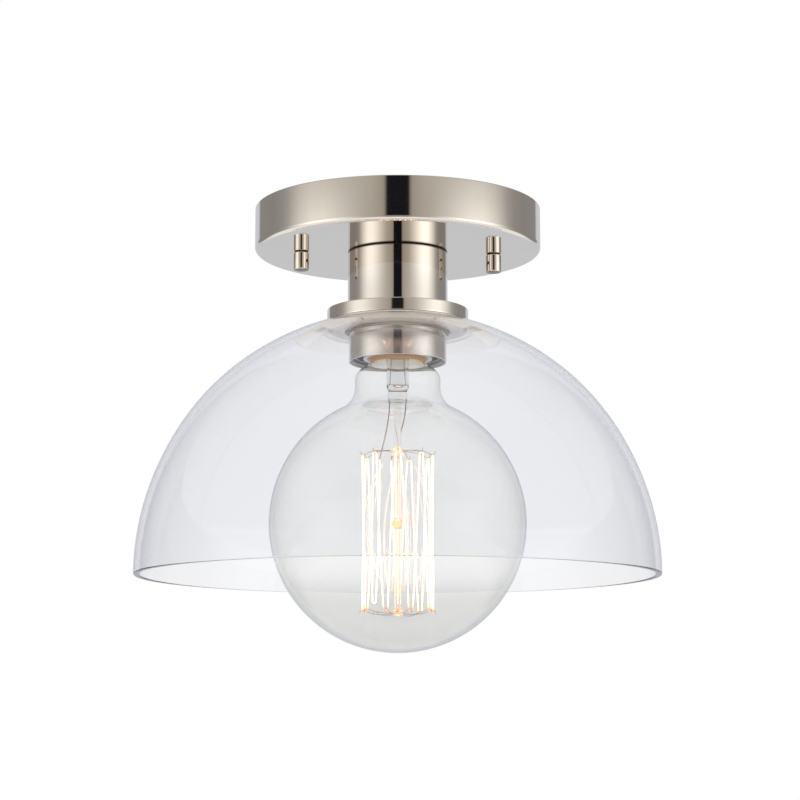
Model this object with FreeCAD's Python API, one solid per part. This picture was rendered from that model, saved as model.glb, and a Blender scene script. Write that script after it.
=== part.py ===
import FreeCAD, Part
import math
import os

# Semi flush ceiling light: a round canopy, a short neck that houses the lampholder, a flange that
# backs the crown of a clear glass bowl, a threaded collar that holds the bowl up, and a large
# globe bulb with a cage filament.
# Millimetres. The origin is the centre of the canopy's ceiling face, +Z points up into the
# ceiling, and the two canopy knobs stand on the X axis. Everything hangs below Z = 0.

Vector = FreeCAD.Vector
UP = Vector(0, 0, 1)

# ---- clearances -----------------------------------------------------------------------------
THREAD_CLEARANCE = 0.06     # radial play of a nut or collar on its thread
PASS_CLEARANCE = 0.5        # radial play of a stud or nipple in a plain hole
SLEEVE_CLEARANCE = 0.2      # a ring slipped over the spigot, a shell in its porcelain
GLASS_CLEARANCE = 0.7       # the bowl's hole round the spigot
CAP_CLEARANCE = 0.4         # the bulb's cap in the screw shell
SEAT_GAP = 0.3              # parts that lie beside each other without a seat
WIRE_GAP = 0.1              # a bare wire beside what it is clamped to

# ---- canopy and what hangs it from the ceiling ------------------------------------------------
CANOPY_RADIUS = 70.5
CANOPY_DEPTH = 21.5
CANOPY_WALL = 1.2
CANOPY_EDGE_ROUND = 2.2
STUD_SPACING = 95.2
STUD_RADIUS = 2.0
STUD_LENGTH = 28.0
STUD_TIP_BEVEL = 0.5
PLATE_THICKNESS = 2.0
PLATE_ARM_OVERHANG = 7.5    # the plate past each stud
PLATE_ARM_WIDTH = 26.0
SLOT_ARM_WIDTH = 18.0
SLOT_SPACING = 79.4         # between the middles of the two ceiling-box slots
SLOT_LENGTH = 14.3
SLOT_RADIUS = 2.4
SLOT_END_MARGIN = 5.0
PLATE_CORNER_ROUND = 4.0
WIRE_HOLE_RADIUS = 11.0
STUD_NUT_ACROSS_FLATS = 8.7
STUD_NUT_HEIGHT = 3.2
NUT_BEVEL_ANGLE = 30.0

# ---- knobs under the canopy -------------------------------------------------------------------
KNOB_RADIUS = 3.85
KNOB_HEIGHT = 8.6
KNOB_EDGE_ROUND = 0.9
KNOB_TOP_CHAMFER = 0.35
KNOB_BORE_DEPTH = 6.6
KNOB_WASHER_RADIUS = 3.3
KNOB_WASHER_THICKNESS = 0.4

# ---- neck, flange and collar ------------------------------------------------------------------
NECK_RADIUS = 24.6
NECK_LENGTH = 28.9
NECK_TOP_THICKNESS = 2.0
NECK_WALL = 1.6
NECK_TOP_CHAMFER = 0.5
NECK_SHOULDER = 2.8         # thickness of the neck's foot above the flange
SPIGOT_RADIUS = 21.9        # crest of the thread that carries the collar
SPIGOT_WALL = 1.7
SPIGOT_THREAD_PITCH = 1.5
SPIGOT_THREAD_DEPTH = 0.35
FLANGE_RADIUS = 34.7
FLANGE_THICKNESS = 7.0
FLANGE_LOWER_ROUND = 1.3
FLANGE_UPPER_ROUND = 0.5
GASKET_THICKNESS = 0.5
UPPER_GASKET_WIDTH = 3.6
LOWER_GASKET_WIDTH = 1.2
COLLAR_RADIUS = 23.95
COLLAR_HEIGHT = 15.8
COLLAR_EDGE_ROUND = 0.5
SPIGOT_RECESS = 3.5         # the spigot ends this far above the collar's lower edge

# ---- glass bowl -------------------------------------------------------------------------------
SHADE_RADIUS = 127.0
SHADE_CROWN_RADIUS = 34.9   # where the flat crown would meet the dome without its rounding
SHADE_CROWN_ROUND = 6.0
SHADE_WALL = 2.8

# ---- lampholder, nipple and strap -------------------------------------------------------------
NIPPLE_RADIUS = 5.1
NIPPLE_BORE_RADIUS = 3.4
NIPPLE_STAND = 8.3          # nipple above the canopy's floor
NIPPLE_NUT_ACROSS_FLATS = 14.3
NIPPLE_NUT_HEIGHT = 3.0
LOCKWASHER_RADIUS = 7.6
LOCKWASHER_THICKNESS = 0.7
LOCKWASHER_TEETH = 12
LOCKWASHER_TOOTH_DEPTH = 1.3
HOLDER_RADIUS = 17.2
HOLDER_RIM_RECESS = 1.5     # the porcelain rim above the collar's lower edge
HOLDER_FLOOR = 10.5
HOLDER_TOP_ROUND = 1.0
HOLDER_RIM_ROUND = 0.5
HOLDER_MOUTH_CHAMFER = 1.1
SHELL_WALL = 0.45
SHELL_RECESS = 0.9          # the shell's mouth above the porcelain rim
SHELL_HOLE_RADIUS = 8.4
TONGUE_RISE = 1.5
TONGUE_WIDTH = 6.0
TONGUE_LENGTH = 14.0
TONGUE_THICKNESS = 0.4
STRAP_THICKNESS = 1.2
STRAP_WIDTH = 13.0
STRAP_LEG_OFFSET = 9.0      # inner face of each leg from the axis
STRAP_FOOT_LENGTH = 6.8
STRAP_DROP = 6.8            # the strap's bar below the neck's inside top
STRAP_SCREW_RADIUS = 1.6
STRAP_SCREW_LENGTH = 8.0
STRAP_SCREW_HEAD_RADIUS = 2.5
STRAP_SCREW_HEAD_HEIGHT = 1.8
STRAP_SCREW_HEAD_ROUND = 1.0
SCREW_SLOT_WIDTH = 0.8
SCREW_SLOT_DEPTH = 0.8

# ---- wiring -----------------------------------------------------------------------------------
LEAD_RADIUS = 1.1
LEAD_BEND = 3.5
LEAD_RISE = 0.2             # straight above the nipple before a lead bends over
LEAD_CROSS_DROP = 2.5       # where a lead runs in below the strap's bar
LEAD_APPROACH = 5.0         # straight run in front of a connector
LEAD_OFFSET = 10.0          # where a lead enters the porcelain, from the axis
LEAD_DEPTH = 5.0            # how far it goes into the porcelain
LEAD_SPREAD = 1.35          # a lead's line in the nipple, from the axis
BLACK_CONNECTOR = (26.0, 20.0, 45.0)      # where each connector's mouth is, and its direction
WHITE_CONNECTOR = (-26.0, -20.0, 225.0)   # round the axis in degrees
GROUND_CONNECTOR = (-26.0, 24.0, 125.0)
CONNECTOR_LENGTH = 18.0
CONNECTOR_MOUTH_RADIUS = 4.6
CONNECTOR_TIP_RADIUS = 3.4
CONNECTOR_WALL = 1.1
CONNECTOR_DEPTH = 12.0
CONNECTOR_FUNNEL = 3.3      # depth of the cone that leads a wire in
CONNECTOR_SKIRT = 4.5       # the wide part at the mouth
CONNECTOR_MOUTH_ROUND = 0.4
CONNECTOR_SKIRT_ROUND = 2.0
CONNECTOR_TIP_ROUND = 1.5
GROUND_SCREW_X = -26.0
GROUND_SCREW_Y = 6.0
GROUND_SCREW_RADIUS = 1.9
GROUND_SCREW_HEAD_RADIUS = 4.0
GROUND_SCREW_HEAD_HEIGHT = 2.4
GROUND_SCREW_FLANGE = 0.6
GROUND_SCREW_ACROSS_FLATS = 6.4
GROUND_WIRE_RADIUS = 0.65
GROUND_WIRE_BEND = 3.0
GROUND_WIRE_TAIL = 5.0      # each side of the screw's middle
GROUND_WIRE_STEP = 8.0      # further along X where it has come down to the connectors' layer
GROUND_WIRE_SWING = 4.0     # and along Y
GROUND_WIRE_APPROACH = 4.0

# ---- bulb -------------------------------------------------------------------------------------
GLOBE_RADIUS = 62.5
BULB_LENGTH = 166.0
BULB_WALL = 0.8
BULB_NECK_RADIUS = 21.0
BULB_NECK_BLEND = 12.0      # hollow rounding from neck to globe
BULB_THROAT_RADIUS = 11.5   # the glass inside the cap
BULB_THROAT_LENGTH = 6.3
BULB_THROAT_INSET = 1.2     # the throat's lower corner above the skirt's edge
BULB_SHOULDER_HEIGHT = 10.7
BULB_SHOULDER_ROUND = 5.0
BULB_THROAT_ROUND = 2.0
CAP_RADIUS = 13.2           # crest of the cap's thread
CAP_ROOT_RADIUS = 12.35
CAP_PITCH = 3.63
CAP_TURNS = 4
CAP_WALL = 0.35
CAP_LENGTH = 21.6           # skirt to centre contact
CAP_SKIRT_HEIGHT = 2.6
CAP_SKIRT_RECESS = 1.9      # the skirt above the porcelain rim
CAP_SKIRT_ROUND = 0.5
CAP_SHOULDER_ROUND = 1.0
CAP_CREST_ROUND = 0.9
CAP_ROOT_ROUND = 0.72
INSULATOR_RADIUS = 8.0
INSULATOR_HEIGHT = 2.2
INSULATOR_FOOT = 1.2        # straight foot of the cone, inside the cap
CONTACT_RADIUS = 4.8
CONTACT_HEIGHT = 1.0
CONTACT_ROUND = 0.7
STEM_RADIUS = 5.5
STEM_WALL = 1.0
STEM_FLARE_LENGTH = 7.0
STEM_FLARE_ROUND = 6.0
STEM_END_ROUND = 1.5
STEM_BORE_ROUND = 1.0
STEM_LENGTH = 22.8
PRESS_WIDTH = 10.4
PRESS_DEPTH = 5.0
PRESS_HEIGHT = 9.0
PRESS_EDGE_ROUND = 2.25
PRESS_OVERLAP = 1.5         # how far the press reaches up the tube
ROD_RADIUS = 1.6
BEAD_RADIUS = 3.3
BEAD_OVERHANG = 1.2         # a bead's middle past its row of hooks
CAGE_RADIUS = 17.4
CAGE_TOP = 33.5             # upper hooks above the globe's centre
CAGE_BOTTOM = 42.0          # lower hooks below it
FILAMENT_LOOPS = 9
FILAMENT_RADIUS = 0.35
FILAMENT_TURN_RADIUS = 0.85
FILAMENT_GAP_ANGLE = 107.5  # the open side of the cage, where the leads come down
FILAMENT_END_ANGLE = 10.0   # each end of the filament from the middle of that side
FILAMENT_SAMPLE = 0.5       # between the points where its gap to itself is measured
HOOK_RADIUS = 0.22
HOOK_REACH = 1.1            # a hook's upturned tip past the filament
HOOK_RUN = 7.0              # level outer run of a hook, inside the filament
HOOK_BEND = 0.35
SPREADER_BAND_RADIUS = 0.44
BULB_LEAD_RADIUS = 0.3
BULB_LEAD_SPREAD = 4.0
BULB_LEAD_DROP = 3.0        # a lead runs straight down this far before it turns outwards
BULB_LEAD_BEND = 6.0
SPREADER_LENGTH = 9.8

# ---- heights worked out from these, top to bottom ----------------------------------------------
CANOPY_FACE_Z = -CANOPY_DEPTH
CANOPY_FLOOR_Z = CANOPY_FACE_Z + CANOPY_WALL
NECK_CEILING_Z = CANOPY_FACE_Z - NECK_TOP_THICKNESS
FLANGE_TOP_Z = CANOPY_FACE_Z - NECK_LENGTH
FLANGE_BOTTOM_Z = FLANGE_TOP_Z - FLANGE_THICKNESS
CROWN_Z = FLANGE_BOTTOM_Z - GASKET_THICKNESS
CROWN_UNDER_Z = CROWN_Z - SHADE_WALL
COLLAR_TOP_Z = CROWN_UNDER_Z - GASKET_THICKNESS
COLLAR_BOTTOM_Z = COLLAR_TOP_Z - COLLAR_HEIGHT
SPIGOT_END_Z = COLLAR_BOTTOM_Z + SPIGOT_RECESS
SHADE_RIM_Z = CROWN_Z - math.sqrt(SHADE_RADIUS**2 - SHADE_CROWN_RADIUS**2)
HOLDER_RIM_Z = COLLAR_BOTTOM_Z + HOLDER_RIM_RECESS
SHELL_MOUTH_Z = HOLDER_RIM_Z + SHELL_RECESS
SKIRT_Z = HOLDER_RIM_Z + CAP_SKIRT_RECESS
CONTACT_Z = SKIRT_Z + CAP_LENGTH
HOLDER_FLOOR_Z = CONTACT_Z + TONGUE_RISE
HOLDER_TOP_Z = HOLDER_FLOOR_Z + HOLDER_FLOOR
STRAP_BAR_Z = NECK_CEILING_Z - STRAP_DROP
GLOBE_Z = CONTACT_Z - BULB_LENGTH + GLOBE_RADIUS
BULB_THROAT_Z = SKIRT_Z + BULB_THROAT_INSET
STEM_TOP_Z = BULB_THROAT_Z + BULB_THROAT_LENGTH    # upper edge of the envelope, where the flare is sealed
PRESS_BOTTOM_Z = STEM_TOP_Z - STEM_LENGTH - PRESS_HEIGHT + PRESS_OVERLAP
INSULATOR_Z = CONTACT_Z - CONTACT_HEIGHT - INSULATOR_HEIGHT
CAGE_TOP_Z = GLOBE_Z + CAGE_TOP
CAGE_BOTTOM_Z = GLOBE_Z - CAGE_BOTTOM
UPPER_BEAD_Z = CAGE_TOP_Z + BEAD_OVERHANG
LOWER_BEAD_Z = CAGE_BOTTOM_Z - BEAD_OVERHANG

# ---- widths worked out from these --------------------------------------------------------------
SPIGOT_BORE_RADIUS = SPIGOT_RADIUS - SPIGOT_WALL
SHADE_HOLE_RADIUS = SPIGOT_RADIUS + GLASS_CLEARANCE
COLLAR_BORE_RADIUS = SPIGOT_RADIUS + THREAD_CLEARANCE
SKIRT_RADIUS = CAP_RADIUS + SEAT_GAP
SHELL_BORE_RADIUS = SKIRT_RADIUS + CAP_CLEARANCE
HOLDER_BORE_RADIUS = SHELL_BORE_RADIUS + SHELL_WALL + SLEEVE_CLEARANCE
STUD_X = STUD_SPACING / 2
LEAD_LAYER_Z = CANOPY_FLOOR_Z + NIPPLE_STAND + LEAD_BEND + LEAD_RISE
STRAP_SCREW_X = STRAP_LEG_OFFSET + (STRAP_THICKNESS + STRAP_FOOT_LENGTH) / 2


# ---- shared shapes ----------------------------------------------------------------------------
def cylinder(radius, top, bottom, x=0, y=0):
    """Upright cylinder between two heights."""
    return Part.makeCylinder(radius, top - bottom, Vector(x, y, bottom))


def ring(outer, inner, top, bottom, x=0, y=0):
    """Upright ring between two heights."""
    return cylinder(outer, top, bottom, x, y).cut(cylinder(inner, top, bottom, x, y))


def rounded_edges(corners, closed):
    """Straight runs through the corners, (point, radius), with a tangent arc in each corner."""
    count = len(corners)
    first = 0 if closed else 1
    last = count if closed else count - 1
    stops = [] if closed else [(corners[0][0], corners[0][0], None)]
    for i in range(first, last):
        corner, radius = corners[i]
        back = (corners[i - 1][0] - corner).normalize()
        ahead = (corners[(i + 1) % count][0] - corner).normalize()
        half = back.getAngle(ahead) / 2
        if radius == 0:
            stops.append((corner, corner, None))
            continue
        reach = radius / math.tan(half)
        inward = (back + ahead).normalize()
        middle = corner + inward * (radius / math.sin(half) - radius)
        stops.append((corner + back * reach, corner + ahead * reach, middle))
    if not closed:
        stops.append((corners[-1][0], corners[-1][0], None))
    edges = []
    for i, (start, end, middle) in enumerate(stops):
        if middle is not None:
            edges.append(Part.Arc(start, middle, end).toShape())
        if i + 1 < len(stops) or closed:
            following = stops[(i + 1) % len(stops)][0]
            edges.append(Part.LineSegment(end, following).toShape())
    return edges


def lathe(edges):
    """Solid turned about the Z axis from a closed outline in the XZ plane."""
    face = Part.Face(Part.Wire(edges))
    return face.revolve(Vector(0, 0, 0), UP, 360)


def turned(*corners):
    """Solid turned about the Z axis from corners (radius, height) or (radius, height, rounding)."""
    outline = []
    for corner in corners:
        rounding = corner[2] if len(corner) > 2 else 0
        outline.append((Vector(corner[0], 0, corner[1]), rounding))
    return lathe(rounded_edges(outline, closed=True))


def tube(points, radius, bend):
    """Round bar along straight runs with a tangent arc of radius bend in each corner."""
    path = Part.Wire(rounded_edges([(point, bend) for point in points], closed=False))
    start = points[0]
    section = Part.Wire([Part.Circle(start, points[1] - start, radius).toShape()])
    return path.makePipeShell([section], True, False), path


def hexagon_nut(across_flats, bore, top, bottom, x=0, y=0):
    """Hexagon nut with its corners bevelled by the cone that a real nut is turned with."""
    corner = across_flats / math.sqrt(3)
    points = [Vector(x + corner * math.cos(math.radians(60 * i)),
                     y + corner * math.sin(math.radians(60 * i)), bottom) for i in range(7)]
    prism = Part.Face(Part.makePolygon(points)).extrude(UP * (top - bottom))
    bevel = (corner - across_flats / 2) * math.tan(math.radians(NUT_BEVEL_ANGLE))
    cone = Part.makeCone(corner, across_flats / 2, bevel, Vector(x, y, top - bevel))
    body = cylinder(corner, top - bevel, bottom, x, y).fuse(cone)
    return prism.common(body).cut(cylinder(bore, top, bottom, x, y))


def around(angle, radius, z):
    """Point at an angle in degrees round the Z axis."""
    turn = math.radians(angle)
    return Vector(radius * math.cos(turn), radius * math.sin(turn), z)


def both_sides(make):
    """The pieces that make(x) gives at the two studs, as one group."""
    return Part.Compound([make(-STUD_X), make(STUD_X)])


# ---- ceiling plate and canopy -----------------------------------------------------------------
def plate_arm(length, width):
    """One flat bar of the cross, with rounded corners, centred on the axis and pointing along X."""
    corners = [(length / 2, width / 2), (-length / 2, width / 2),
               (-length / 2, -width / 2), (length / 2, -width / 2)]
    outline = [(Vector(x, y, -PLATE_THICKNESS), PLATE_CORNER_ROUND) for x, y in corners]
    face = Part.Face(Part.Wire(rounded_edges(outline, closed=True)))
    return face.extrude(UP * PLATE_THICKNESS)


def slot(y):
    """Slot along Y that takes a screw of the ceiling box."""
    half = SLOT_LENGTH / 2 - SLOT_RADIUS
    middle = Part.makeBox(2 * SLOT_RADIUS, 2 * half, PLATE_THICKNESS,
                          Vector(-SLOT_RADIUS, y - half, -PLATE_THICKNESS))
    ends = [cylinder(SLOT_RADIUS, 0, -PLATE_THICKNESS, 0, y + side * half) for side in (-1, 1)]
    return middle.fuse(ends)


def mounting_plate():
    stud_arm = plate_arm(STUD_SPACING + 2 * PLATE_ARM_OVERHANG, PLATE_ARM_WIDTH)
    slot_arm = plate_arm(SLOT_SPACING + SLOT_LENGTH + 2 * SLOT_END_MARGIN, SLOT_ARM_WIDTH)
    slot_arm.rotate(Vector(0, 0, 0), UP, 90)
    holes = [cylinder(WIRE_HOLE_RADIUS, 0, -PLATE_THICKNESS),
             cylinder(STUD_RADIUS + THREAD_CLEARANCE, 0, -PLATE_THICKNESS, -STUD_X),
             cylinder(STUD_RADIUS + THREAD_CLEARANCE, 0, -PLATE_THICKNESS, STUD_X),
             cylinder(GROUND_SCREW_RADIUS + THREAD_CLEARANCE, 0, -PLATE_THICKNESS,
                      GROUND_SCREW_X, GROUND_SCREW_Y),
             slot(-SLOT_SPACING / 2),
             slot(SLOT_SPACING / 2)]
    return stud_arm.fuse(slot_arm).removeSplitter().cut(holes)


def canopy_stud(x):
    """Threaded stud, flush with the plate's top, with a bevelled tip."""
    bevel = STUD_TIP_BEVEL
    shank = cylinder(STUD_RADIUS, 0, bevel - STUD_LENGTH, x)
    tip = Part.makeCone(STUD_RADIUS - bevel, STUD_RADIUS, bevel, Vector(x, 0, -STUD_LENGTH))
    return shank.fuse(tip)


def stud_locknut(x):
    return hexagon_nut(STUD_NUT_ACROSS_FLATS, STUD_RADIUS + THREAD_CLEARANCE,
                       -PLATE_THICKNESS, -PLATE_THICKNESS - STUD_NUT_HEIGHT, x)


def canopy():
    """Drawn steel cup, open to the ceiling, with holes for the nipple and the two studs."""
    inner_radius = CANOPY_RADIUS - CANOPY_WALL
    nipple_hole = NIPPLE_RADIUS + PASS_CLEARANCE
    shell = turned((nipple_hole, CANOPY_FLOOR_Z),
                   (inner_radius, CANOPY_FLOOR_Z, CANOPY_EDGE_ROUND - CANOPY_WALL),
                   (inner_radius, 0),
                   (CANOPY_RADIUS, 0),
                   (CANOPY_RADIUS, CANOPY_FACE_Z, CANOPY_EDGE_ROUND),
                   (nipple_hole, CANOPY_FACE_Z))
    stud_hole = STUD_RADIUS + PASS_CLEARANCE
    return shell.cut([cylinder(stud_hole, 0, CANOPY_FACE_Z, -STUD_X),
                      cylinder(stud_hole, 0, CANOPY_FACE_Z, STUD_X)])


# ---- knobs ------------------------------------------------------------------------------------
def knob_washer(x):
    top = CANOPY_FACE_Z
    return ring(KNOB_WASHER_RADIUS, STUD_RADIUS + PASS_CLEARANCE, top,
                top - KNOB_WASHER_THICKNESS, x)


def knob_nut(x):
    """Blind knob nut with a rounded lower edge and a small chamfer where it meets the washer."""
    top = CANOPY_FACE_Z - KNOB_WASHER_THICKNESS
    bottom = top - KNOB_HEIGHT
    bore = STUD_RADIUS + THREAD_CLEARANCE
    body = turned((bore, top),
                  (KNOB_RADIUS - KNOB_TOP_CHAMFER, top),
                  (KNOB_RADIUS, top - KNOB_TOP_CHAMFER),
                  (KNOB_RADIUS, bottom, KNOB_EDGE_ROUND),
                  (0, bottom),
                  (0, top - KNOB_BORE_DEPTH),
                  (bore, top - KNOB_BORE_DEPTH))
    body.translate(Vector(x, 0, 0))
    return body


# ---- neck, flange, bowl and collar ------------------------------------------------------------
def spigot_thread():
    """Saw-tooth corners of the collar's thread, from the neck's foot down to the spigot's end."""
    root = SPIGOT_RADIUS - SPIGOT_THREAD_DEPTH
    turns = int((COLLAR_TOP_Z - SPIGOT_END_Z) / SPIGOT_THREAD_PITCH)
    corners = []
    for turn in range(turns):
        crest = SPIGOT_END_Z + (turns - turn - 0.25) * SPIGOT_THREAD_PITCH
        corners.append((SPIGOT_RADIUS, crest))
        corners.append((root, crest - SPIGOT_THREAD_PITCH / 2))
    return corners


def socket_housing():
    """Neck cup with a closed top and a thinner threaded spigot below its foot."""
    bore = SPIGOT_BORE_RADIUS
    inner = NECK_RADIUS - NECK_WALL
    nipple_hole = NIPPLE_RADIUS + PASS_CLEARANCE
    return turned((nipple_hole, CANOPY_FACE_Z),
                  (NECK_RADIUS - NECK_TOP_CHAMFER, CANOPY_FACE_Z),
                  (NECK_RADIUS, CANOPY_FACE_Z - NECK_TOP_CHAMFER),
                  (NECK_RADIUS, FLANGE_TOP_Z),
                  (SPIGOT_RADIUS, FLANGE_TOP_Z),
                  *spigot_thread(),
                  (SPIGOT_RADIUS - SPIGOT_THREAD_DEPTH, SPIGOT_END_Z),
                  (bore, SPIGOT_END_Z),
                  (bore, FLANGE_TOP_Z + NECK_SHOULDER),
                  (inner, FLANGE_TOP_Z + NECK_SHOULDER),
                  (inner, NECK_CEILING_Z),
                  (nipple_hole, NECK_CEILING_Z))


def shade_flange():
    """Thick ring round the spigot that the bowl's crown is pressed up against."""
    bore = SPIGOT_RADIUS + SLEEVE_CLEARANCE
    return turned((bore, FLANGE_TOP_Z),
                  (FLANGE_RADIUS, FLANGE_TOP_Z, FLANGE_UPPER_ROUND),
                  (FLANGE_RADIUS, FLANGE_BOTTOM_Z, FLANGE_LOWER_ROUND),
                  (bore, FLANGE_BOTTOM_Z))


def upper_gasket():
    return ring(SHADE_HOLE_RADIUS + UPPER_GASKET_WIDTH, SHADE_HOLE_RADIUS,
                FLANGE_BOTTOM_Z, CROWN_Z)


def lower_gasket():
    return ring(SHADE_HOLE_RADIUS + LOWER_GASKET_WIDTH, SHADE_HOLE_RADIUS,
                CROWN_UNDER_Z, COLLAR_TOP_Z)


def bowl_surface(inset):
    """One side of the bowl as (flat, shoulder, dome) points: a flat crown, a rounded shoulder
    and a dome about the middle of the rim, all moved inwards by inset."""
    dome = SHADE_RADIUS - inset
    rounding = SHADE_CROWN_ROUND - inset
    crown = CROWN_Z - inset
    shoulder_z = crown - rounding - SHADE_RIM_Z
    shoulder_r = math.sqrt((dome - rounding)**2 - shoulder_z**2)
    slope = math.atan2(shoulder_z, shoulder_r)
    centre = Vector(shoulder_r, 0, crown - rounding)
    halfway = (slope + math.pi / 2) / 2
    middle = centre + Vector(math.cos(halfway), 0, math.sin(halfway)) * rounding
    rim_centre = Vector(0, 0, SHADE_RIM_Z)
    join = rim_centre + Vector(math.cos(slope), 0, math.sin(slope)) * dome
    belly = rim_centre + Vector(math.cos(slope / 2), 0, math.sin(slope / 2)) * dome
    rim = rim_centre + Vector(dome, 0, 0)
    return Vector(SHADE_HOLE_RADIUS, 0, crown), Vector(shoulder_r, 0, crown), middle, join, belly, rim


def glass_shade():
    """Blown bowl of even wall with a fire-rounded rim and a plain hole in its crown."""
    outer = bowl_surface(0)
    inner = bowl_surface(SHADE_WALL)
    rim_bottom = (outer[5] + inner[5]) / 2 - UP * (SHADE_WALL / 2)
    edges = []
    for flat, shoulder, middle, join, belly, rim in (outer, inner):
        edges.append(Part.LineSegment(flat, shoulder).toShape())
        edges.append(Part.Arc(shoulder, middle, join).toShape())
        edges.append(Part.Arc(join, belly, rim).toShape())
    edges.append(Part.Arc(outer[5], rim_bottom, inner[5]).toShape())
    edges.append(Part.LineSegment(inner[0], outer[0]).toShape())
    return lathe(Part.__sortEdges__(edges))


def retaining_collar():
    """Plain threaded collar that screws up the spigot and holds the bowl."""
    return turned((COLLAR_BORE_RADIUS, COLLAR_TOP_Z),
                  (COLLAR_RADIUS, COLLAR_TOP_Z, COLLAR_EDGE_ROUND),
                  (COLLAR_RADIUS, COLLAR_BOTTOM_Z, COLLAR_EDGE_ROUND),
                  (COLLAR_BORE_RADIUS, COLLAR_BOTTOM_Z))


# ---- nipple, lampholder and strap -------------------------------------------------------------
def nipple():
    return ring(NIPPLE_RADIUS, NIPPLE_BORE_RADIUS, CANOPY_FLOOR_Z + NIPPLE_STAND,
                STRAP_BAR_Z - STRAP_THICKNESS)


def nipple_locknuts():
    """One nut clamps inside the canopy, the other inside the neck."""
    bore = NIPPLE_RADIUS + THREAD_CLEARANCE
    seat = CANOPY_FLOOR_Z + LOCKWASHER_THICKNESS
    upper = hexagon_nut(NIPPLE_NUT_ACROSS_FLATS, bore, seat + NIPPLE_NUT_HEIGHT, seat)
    lower = hexagon_nut(NIPPLE_NUT_ACROSS_FLATS, bore, NECK_CEILING_Z,
                        NECK_CEILING_Z - NIPPLE_NUT_HEIGHT)
    return Part.Compound([upper, lower])


def nipple_lockwasher():
    """Toothed washer under the upper nut."""
    top = CANOPY_FLOOR_Z + LOCKWASHER_THICKNESS
    disc = ring(LOCKWASHER_RADIUS, NIPPLE_RADIUS + PASS_CLEARANCE, top, CANOPY_FLOOR_Z)
    gap_radius = math.pi * LOCKWASHER_RADIUS / LOCKWASHER_TEETH / 2
    gaps = []
    for i in range(LOCKWASHER_TEETH):
        middle = around(360 * i / LOCKWASHER_TEETH,
                        LOCKWASHER_RADIUS + gap_radius - LOCKWASHER_TOOTH_DEPTH, 0)
        gaps.append(cylinder(gap_radius, top, CANOPY_FLOOR_Z, middle.x, middle.y))
    return disc.cut(gaps)


def lampholder_body():
    """Porcelain lampholder with holes for the two leads and the two strap screws."""
    body = turned((0, HOLDER_FLOOR_Z),
                  (0, HOLDER_TOP_Z),
                  (HOLDER_RADIUS, HOLDER_TOP_Z, HOLDER_TOP_ROUND),
                  (HOLDER_RADIUS, HOLDER_RIM_Z, HOLDER_RIM_ROUND),
                  (HOLDER_BORE_RADIUS + HOLDER_MOUTH_CHAMFER, HOLDER_RIM_Z),
                  (HOLDER_BORE_RADIUS, HOLDER_RIM_Z + HOLDER_MOUTH_CHAMFER),
                  (HOLDER_BORE_RADIUS, HOLDER_FLOOR_Z))
    lead_hole = LEAD_RADIUS + SLEEVE_CLEARANCE
    screw_hole = STRAP_SCREW_RADIUS + THREAD_CLEARANCE
    holes = []
    for side in (-1, 1):
        holes.append(cylinder(lead_hole, HOLDER_TOP_Z, HOLDER_TOP_Z - LEAD_DEPTH,
                              0, side * LEAD_OFFSET))
        holes.append(cylinder(screw_hole, HOLDER_TOP_Z, HOLDER_TOP_Z - STRAP_SCREW_LENGTH,
                              side * STRAP_SCREW_X))
    return body.cut(holes)


def screw_shell():
    """Brass shell that the bulb screws into, with a hole in its top for the centre contact."""
    outer = SHELL_BORE_RADIUS + SHELL_WALL
    under = HOLDER_FLOOR_Z - SHELL_WALL
    return turned((SHELL_HOLE_RADIUS, HOLDER_FLOOR_Z),
                  (outer, HOLDER_FLOOR_Z),
                  (outer, SHELL_MOUTH_Z),
                  (SHELL_BORE_RADIUS, SHELL_MOUTH_Z),
                  (SHELL_BORE_RADIUS, under),
                  (SHELL_HOLE_RADIUS, under))


def centre_contact():
    """Springy brass tongue from the porcelain floor down to the bulb's centre contact."""
    half = TONGUE_LENGTH / 2
    top = HOLDER_FLOOR_Z
    tip = CONTACT_Z
    t = TONGUE_THICKNESS
    outline = [(-half, top), (-half / 3, top), (half / 3, tip + t), (half, tip + t),
               (half, tip), (half / 3 - t, tip), (-half / 3 - t, top - t), (-half, top - t)]
    points = [Vector(x, -TONGUE_WIDTH / 2, z) for x, z in outline]
    face = Part.Face(Part.makePolygon(points + points[:1]))
    return face.extrude(Vector(0, TONGUE_WIDTH, 0))


def lampholder_strap():
    """Steel strap bent like a hat: a bar threaded on the nipple and two feet on the porcelain."""
    leg_in = STRAP_LEG_OFFSET
    leg_out = leg_in + STRAP_THICKNESS
    foot_end = leg_in + STRAP_FOOT_LENGTH
    bar_under = STRAP_BAR_Z - STRAP_THICKNESS
    foot_z = HOLDER_TOP_Z
    foot_top = foot_z + STRAP_THICKNESS
    right = [(leg_out, STRAP_BAR_Z), (leg_out, foot_top), (foot_end, foot_top),
             (foot_end, foot_z), (leg_in, foot_z), (leg_in, bar_under)]
    left = [(-x, z) for x, z in reversed(right)]
    points = [Vector(x, -STRAP_WIDTH / 2, z) for x, z in right + left]
    face = Part.Face(Part.makePolygon(points + points[:1]))
    bent = face.extrude(Vector(0, STRAP_WIDTH, 0))
    screw_hole = STRAP_SCREW_RADIUS + THREAD_CLEARANCE
    return bent.cut([cylinder(NIPPLE_RADIUS + THREAD_CLEARANCE, STRAP_BAR_Z, bar_under),
                     cylinder(screw_hole, foot_top, foot_z, STRAP_SCREW_X),
                     cylinder(screw_hole, foot_top, foot_z, -STRAP_SCREW_X)])


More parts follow.
